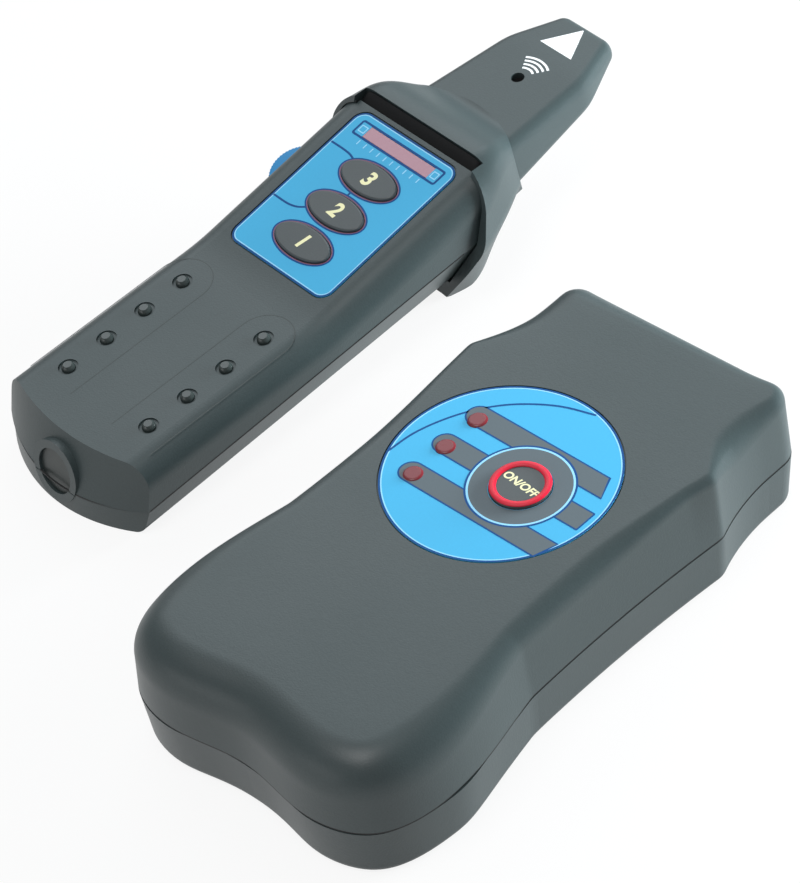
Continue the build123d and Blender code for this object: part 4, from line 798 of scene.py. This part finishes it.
ARC_POINTS = [
    (-27.0, 4.0), (-26.1, 12.5), (-23.0, 21.0), (-18.6, 28.0), (-12.9, 33.7), (-5.2, 38.5), (3.4, 41.3),
]
tx_print("label_arc", plate(stroke(bend(ARC_POINTS, 60), LINE_WIDE), INK), deep_blue, 1)

KEY_SURROUND = [
    ("key_surround_edge", 12.4, 12.9, deep_blue),
    ("key_surround_rim", 11.9, 12.4, pale_blue),
    ("key_surround", 7.5, 11.9, grey_ink),
]
for name, inner, outer, material in KEY_SURROUND:
    label_ring(name, TX_KEY, inner, outer, material, 3)
key_top = TX_TOP + KEY_PROUD


def key_bead(count=128):
    """Raised red ring on the power key: a rounded profile, flatter below, carried round the key's edge."""
    a = np.linspace(0, 2 * pi, count, endpoint=False)
    b = np.linspace(0, 2 * pi, 20, endpoint=False)
    reach = BEAD_R + BEAD_HALF * np.cos(b)
    rise = np.where(np.sin(b) > 0, BEAD_RISE, BEAD_SINK) * np.sin(b)
    x = TX_KEY[0] + reach[None] * np.cos(a)[:, None]
    y = TX_KEY[1] + reach[None] * np.sin(a)[:, None]
    z = np.broadcast_to(key_top + BEAD_LIFT + rise[None], x.shape)
    return np.stack([x, y, z], -1).reshape(-1, 3), grid_faces(count, len(b), True, True)


make_piece("power_ring", *key_bead(), red_rubber, "power_key", "red_rubber")
lettering("power_words", "ON/OFF", TX_KEY, POWER_WORDS_SIZE, LETTER_TURN, on_table, key_top, cream_ink,
          "power_key", shear=0.15, weight=0.03)


# Receiver's nose

def nose_skin():
    """Nose as rings of a rounded rectangle: half width, top and foot follow the stations along y, and the
    last rings draw in as a quarter round at the tip."""
    round_start = NOSE_TIP - NOSE_TIP_ROUND
    along = np.concatenate([np.linspace(NOSE_BACK, round_start, 60), np.full(9, round_start)])
    angle = np.concatenate([np.zeros(60), np.linspace(0, pi / 2, 10)[1:]])
    along = along + NOSE_TIP_ROUND * np.sin(angle)
    inset = NOSE_TIP_ROUND * (1 - np.cos(angle))
    half = nose_line(NOSE_HALF, along) - inset
    top = nose_line(NOSE_TOP, along) - inset
    foot = nose_line(NOSE_FOOT, along) - inset
    corner = np.minimum(NOSE_CORNER, (top + foot) / 2 - 0.05)
    a = np.linspace(0, 2 * pi, 96, endpoint=False)[None] + 1e-6
    x = np.sign(np.cos(a)) * (half - corner)[:, None] + corner[:, None] * np.cos(a)
    flat_top, flat_foot = (top - corner)[:, None], (corner - foot)[:, None]
    z = np.where(np.sin(a) > 0, flat_top, flat_foot) + corner[:, None] * np.sin(a)
    y = np.broadcast_to(along[:, None], x.shape)
    points, faces = drum(np.stack([x, y, z], -1))
    return on_receiver(points), faces


nose = make_piece("nose_cap", *nose_skin(), casing, "receiver", "casing", crease=CASING_CREASE)
hole_points, hole_faces = round_cutter((*SOUND_HOLE, SOUND_CUT_Z), "z", SOUND_HOLE_R, SOUND_CUT_LONG)
cut_holes(nose, [(on_receiver(hole_points), hole_faces)], casing, CASING_CREASE)
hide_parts("rx_nose")
# Black disc at the floor of the blind sound hole: painted shade of the hole's depth, over the dark buzzer
# behind it.
hole_floor = disc_plate(oval(SOUND_HOLE, SOUND_HOLE_R, SOUND_HOLE_R, 48), SOUND_HOLE_DISC_THICK)
printed("sound_hole_shade", hole_floor, on_nose, SOUND_HOLE_FLOOR, painted_shade_black, "receiver", "black_plastic")


def nose_print(name, flat):
    """A white print on the nose's top."""
    printed(name, plate(flat, INK), on_nose, NOSE_PRINT_LIFT, white_ink, "receiver", "label")


spread = np.radians(np.linspace(SOUND_ARC_FROM, SOUND_ARC_TO, 24))
for k, radius in enumerate(SOUND_ARCS, 1):
    line = np.array(SOUND_ARC_AT) + radius * np.stack([np.cos(spread), np.sin(spread)], 1)
    nose_print("sound_arc_%d" % k, stroke(line, SOUND_ARC_WIDE))


def pointer(count=13):
    """Triangle with its blunt point to the tip: rows across it that widen evenly away from the point."""
    share = np.linspace(0, 1, count)[:, None]
    across = np.linspace(-1, 1, 9)[None]
    wide = POINTER_HALF * (POINTER_BLUNT + (1 - POINTER_BLUNT) * share)
    x = POINTER_TIP[0] + wide * across
    y = np.broadcast_to(POINTER_TIP[1] - POINTER_LONG * share, x.shape)
    return np.stack([x, y], -1)


nose_print("nose_pointer", pointer())


# Receiver's painted shade strip at the collar, painted seam shade, painted shade lines round the stud pads,
# and thumbwheel

def seal_strip(count=60):
    """Black strip of painted shade that fills the step between deck and collar, standing in for the step's
    shadow:
    a sloping four-sided profile with a slight crown, carried along x, its height drawn in at both ends."""
    near, far, floor = GROOVE_Y0 + SHADE_STRIP_GAP, GROOVE_Y1 + SHADE_STRIP_TUCK, GROOVE_FLOOR + SHADE_STRIP_GAP
    x = np.linspace(-GROOVE_HALF, GROOVE_HALF, count)
    end = np.sqrt(np.clip(1 - (np.abs(x) / GROOVE_HALF) ** 16, 0.02, 1))
    slope = np.linspace(0, 1, 12)
    y = np.concatenate([near + slope * (far - near), [far, near]])
    crown = slope * GROOVE_BACK + SHADE_STRIP_CROWN * np.sin(slope * pi) - SHADE_STRIP_SINK
    top = np.concatenate([crown, [floor, floor]])
    z = floor + (top[None] - floor) * end[:, None]
    rings = np.stack([np.broadcast_to(x[:, None], z.shape), np.broadcast_to(y[None], z.shape), z], -1)
    points, faces = drum(rings)
    return on_deck(points), faces


# The black strip paints the shade of the step between the deck and the collar.
make_piece("collar_step_shade", *seal_strip(), painted_shade_black, "receiver", "dark_plastic")


def handle_outline(step=0.5):
    """Handle's outline at the parting line, evenly stepped: one straight side, the tail's arc, the other
    side."""
    tail = arc_through((-RX_HALF, RX_TAIL_DROP), (0, 0), (RX_HALF, RX_TAIL_DROP), 60)
    path = np.concatenate([[[-RX_HALF, HANDLE_END]], tail, [[RX_HALF, HANDLE_END]]])
    run = run_along(path)
    return points_along(path, run, np.linspace(0, run[-1], int(run[-1] / step)))


def handle_seam():
    """Thin band of painted shade on the parting line, for the gap's shadow: a small oblong carried along the
    handle's outline.
    """
    path = handle_outline()
    way = unit(np.gradient(path, axis=0))
    out = np.stack([way[:, 1], -way[:, 0]], 1)
    edge, back, half = HANDLE_SEAM_OUT, -HANDLE_SEAM_IN, HANDLE_SEAM_HALF
    corners = [(edge, -half), (edge, half), (back, half), (back, -half)]
    rows = [np.concatenate([path + out * o, np.full((len(path), 1), z)], 1) for o, z in corners]
    points, faces = drum(np.stack(rows, 1))
    return on_receiver(points), faces


# A dark band on the handle's parting line paints the shade of the gap between the halves.
make_piece("handle_seam", *handle_seam(), painted_seam_shade, "receiver", "casing")


def pad_outline(side):
    """Stud pad: two straight sides from near the tail, closed by a half circle towards the deck."""
    a = np.linspace(0, pi, 40)
    end = np.stack([PAD_HALF * np.cos(a), PAD_END + PAD_HALF * np.sin(a)], 1)
    right_start, left_start = PAD_START - PAD_SKEW * side, PAD_START + PAD_SKEW * side
    path = np.concatenate([[[PAD_HALF, right_start]], end, [[-PAD_HALF, left_start]]])
    return path + [side * RX_STUD_X, 0]


# Thin darker lines round the stud pads paint the shade of the pads' faint steps.
for side, name in ((-1, "stud_pad_left_shade"), (1, "stud_pad_right_shade")):
    pad = plate(stroke(pad_outline(side), PAD_LINE_WIDE), INK)
    printed(name, pad, on_handle, PAD_PRINT_LIFT, pad_step_shade, "receiver", "casing")


def wheel_skin():
    """Thumbwheel as rings: flat faces, rounded edges, and a rim whose radius follows a cosine for the
    ridges."""
    a = np.linspace(0, 2 * pi, WHEEL_RIDGES * 8, endpoint=False)
    ridge = 0.5 - 0.5 * np.cos(WHEEL_RIDGES * a)
    low, high = WHEEL_TOP - WHEEL_THICK, WHEEL_TOP
    rows = [(0.6, low, 0), (0.88, low, 0), (0.96, low + 0.15, 0.4), (1.0, low + 0.6, 1), (1.0, high - 0.6, 1),
            (0.96, high - 0.15, 0.4), (0.88, high, 0), (0.6, high, 0)]
    rings = []
    for share, height, depth in rows:
        r = WHEEL_R * share - RIDGE_DEEP * depth * (1 - ridge)
        x, y = WHEEL_AT[0] + r * np.cos(a), WHEEL_AT[1] + r * np.sin(a)
        rings.append(np.stack([x, y, np.full(len(a), height)], 1))
    points, faces = drum(np.array(rings))
    return on_deck(points), faces


wheel = make_piece("grip_wheel", *wheel_skin(), wheel_blue, "wheel", "blue_plastic")
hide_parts("rx_thumbwheel")


# Receiver's label

def rx_print(name, made, material, layer):
    """A print on the receiver's label, lifted by whole layers of ink."""
    printed(name, made, on_deck, layer * INK, material, "receiver", "label")


def panel(inset):
    """Outline of the receiver's label, set in on all sides."""
    half = RX_LABEL_HALF - inset
    corner = max(RX_LABEL_CORNER - inset, 0.5)
    return rounded_box(-half, half, inset, RX_LABEL_LENGTH - inset, corner)


def window_box(grow, corner):
    """Outline of the light bar's window, grown on all sides."""
    half = WINDOW_HALF + grow
    return rounded_box(-half, half, WINDOW_Y0 - grow, WINDOW_Y1 + grow, corner)


def window_end_frame(x0, x1, inset):
    """Outline of the small frame at an end of the window."""
    y0, y1 = WINDOW_Y0 + WINDOW_FRAME_IN, WINDOW_Y1 - WINDOW_FRAME_IN
    return rounded_box(x0 + inset, x1 - inset, y0 + inset, y1 - inset, 0.2)


rx_print("panel_edge", ring_plate(panel(RIM_DARK), panel(0.0), INK), deep_blue, 0)
rx_print("panel_rim", ring_plate(panel(RIM_PALE), panel(RIM_DARK), INK), pale_blue, 0)
for k, (at, body) in enumerate(zip(RX_KEYS, ("key_low", "key_middle", "key_high")), 1):
    inner, middle, outer = (oval(at, RX_KEY_HALF[0] + grow, RX_KEY_HALF[1] + grow) for grow in RX_KEY_RIMS)
    rx_print("key_rim_%d" % k, ring_plate(inner, middle, INK), rim_red, 2)
    rx_print("key_edge_%d" % k, ring_plate(middle, outer, INK), deep_blue, 2)
    lettering("key_number_%d" % k, str(k), at, KEY_NUMBER_SIZE, LETTER_TURN, on_deck, KEY_PROUD, cream_ink,
              body, shear=0.12, weight=0.035)

rx_print("window_edge", ring_plate(window_box(0.0, 0.4), window_box(WINDOW_RIM, 0.8), INK), deep_blue, 2)
WINDOW_ENDS = [
    ("window_end_left", -WINDOW_HALF, WINDOW_END_LEFT),
    ("window_end_right", WINDOW_END_RIGHT, WINDOW_HALF),
]
for name, x0, x1 in WINDOW_ENDS:
    rx_print(name, disc_plate(rounded_box(x0, x1, WINDOW_Y0, WINDOW_Y1, 0.2), INK), label_film, 2)
    inner, outer = (window_end_frame(x0, x1, inset) for inset in WINDOW_FRAME_LINE)
    rx_print(name + "_frame", ring_plate(inner, outer, INK), pale_blue, 3)
for k in range(TICK_COUNT):
    x = TICK_FIRST + TICK_PITCH * k
    rx_print("tick_%d" % (k + 1), plate(stroke([(x, TICK_Y0), (x, TICK_Y1)], TICK_WIDE), INK), pale_blue, 1)
CURVES = [
    ("wheel_line_far", [(-17.1, 35.3), (-12.8, 35.3), (-10.2, 35.1), (-8.4, 34.6)]),
    ("wheel_line_near", [(-17.2, 15.6), (-12.3, 15.6), (-9.4, 16.2), (-7.4, 17.4)]),
    ("key_link", [(-1.0, 27.0), (-1.0, 26.4), (-1.0, 25.8)]),
]
for name, line in CURVES:
    rx_print(name, plate(stroke(bend(line), LINE_WIDE), INK), deep_blue, 1)


# Camera, light and table

CAMERA_AT = Vector((596.08, -504.08, 809.20)) * MM
LOOK_FLAT = Vector((-0.772, 0.635, 0)).normalized()
LOOK_DOWN = radians(43.9)
CAMERA_ROLL = radians(-9.75)
PIXELS_TALL = 883
FOCAL_PIXELS = 4948
SENSOR = 36.0

look = LOOK_FLAT * cos(LOOK_DOWN) - Vector((0, 0, 1)) * sin(LOOK_DOWN)
level = look.cross(Vector((0, 0, 1))).normalized()
upright = level.cross(look)
right = level * cos(CAMERA_ROLL) + upright * sin(CAMERA_ROLL)
up = upright * cos(CAMERA_ROLL) - level * sin(CAMERA_ROLL)
eye = bpy.data.cameras.new("eye")
eye.sensor_width = SENSOR
eye.lens = FOCAL_PIXELS / PIXELS_TALL * SENSOR
eye.clip_start = 0.05
eye.clip_end = 20
eye_stand = set_down("eye", eye)
turned = Matrix((right, up, -look)).transposed().to_4x4()
eye_stand.matrix_world = Matrix.Translation(CAMERA_AT) @ turned
bpy.context.scene.camera = eye_stand


def soft_light(name, at, aim, size, watts, colour=(1, 1, 1), mirrored=True):
    """Oblong studio light turned towards its aim; one that isn't mirrored is left out of reflections."""
    light = bpy.data.lights.new(name, "AREA")
    light.shape = "RECTANGLE"
    light.size, light.size_y = size
    light.energy = watts
    light.color = colour
    stand = set_down(name, light)
    stand.visible_glossy = mirrored
    way = Vector(aim) - Vector(at)
    stand.matrix_world = Matrix.Translation(at) @ way.to_track_quat("-Z", "Y").to_matrix().to_4x4()


AIM = (-0.05, 0.03, 0.0)
COOL = (0.88, 0.96, 1.0)
soft_light("back_box", (-0.75, 0.62, 0.80), AIM, (1.1, 0.8), 6.5, COOL)
soft_light("top_box", (0.0, -0.3, 1.3), AIM, (0.6, 0.6), 7.5)
soft_light("right_box", (0.17, 0.43, 0.09), (-0.08, 0.05, 0.02), (0.3, 0.12), 7.0, COOL, mirrored=False)
soft_light("front_box", (-0.35, -1.1, 0.35), AIM, (0.8, 0.4), 1.5)

world = bpy.data.worlds.new("studio")
bpy.context.scene.world = world
world.use_nodes = True
back = world.node_tree.nodes["Background"]
back.inputs["Color"].default_value = (0.93, 0.97, 1.0, 1)
back.inputs["Strength"].default_value = 0.32

TABLE_HALF = 6.0
TABLE_WHITE_SHARE = 0.88
table = bpy.data.meshes.new("table_top")
corners = np.array([(-1, -1, 0), (1, -1, 0), (1, 1, 0), (-1, 1, 0)]) * TABLE_HALF
table.from_pydata(corners.tolist(), [], [(0, 1, 2, 3)])
table_top = set_down("table_top", table)
table_paper = bpy.data.materials.new("table_paper")
table_paper.use_nodes = True
tree = table_paper.node_tree
paper = tree.nodes["Principled BSDF"]
paper.inputs["Base Color"].default_value = (0.78, 0.78, 0.78, 1)
paper.inputs["Roughness"].default_value = 0.9
paper.inputs["Specular IOR Level"].default_value = 0.1
glow = tree.nodes.new("ShaderNodeEmission")
glow.inputs["Strength"].default_value = 1.0
mix = tree.nodes.new("ShaderNodeMixShader")
path = tree.nodes.new("ShaderNodeLightPath")
seen = math_node(tree, "MAXIMUM", path.outputs["Is Camera Ray"], path.outputs["Is Glossy Ray"])
seen = math_node(tree, "MAXIMUM", seen, path.outputs["Is Transmission Ray"])
share = math_node(tree, "MULTIPLY", seen, TABLE_WHITE_SHARE)
tree.links.new(share, mix.inputs["Fac"])
tree.links.new(paper.outputs["BSDF"], mix.inputs[1])
tree.links.new(glow.outputs["Emission"], mix.inputs[2])
tree.links.new(mix.outputs["Shader"], tree.nodes["Material Output"].inputs["Surface"])
table.materials.append(table_paper)

bpy.context.scene.view_settings.view_transform = "Standard"
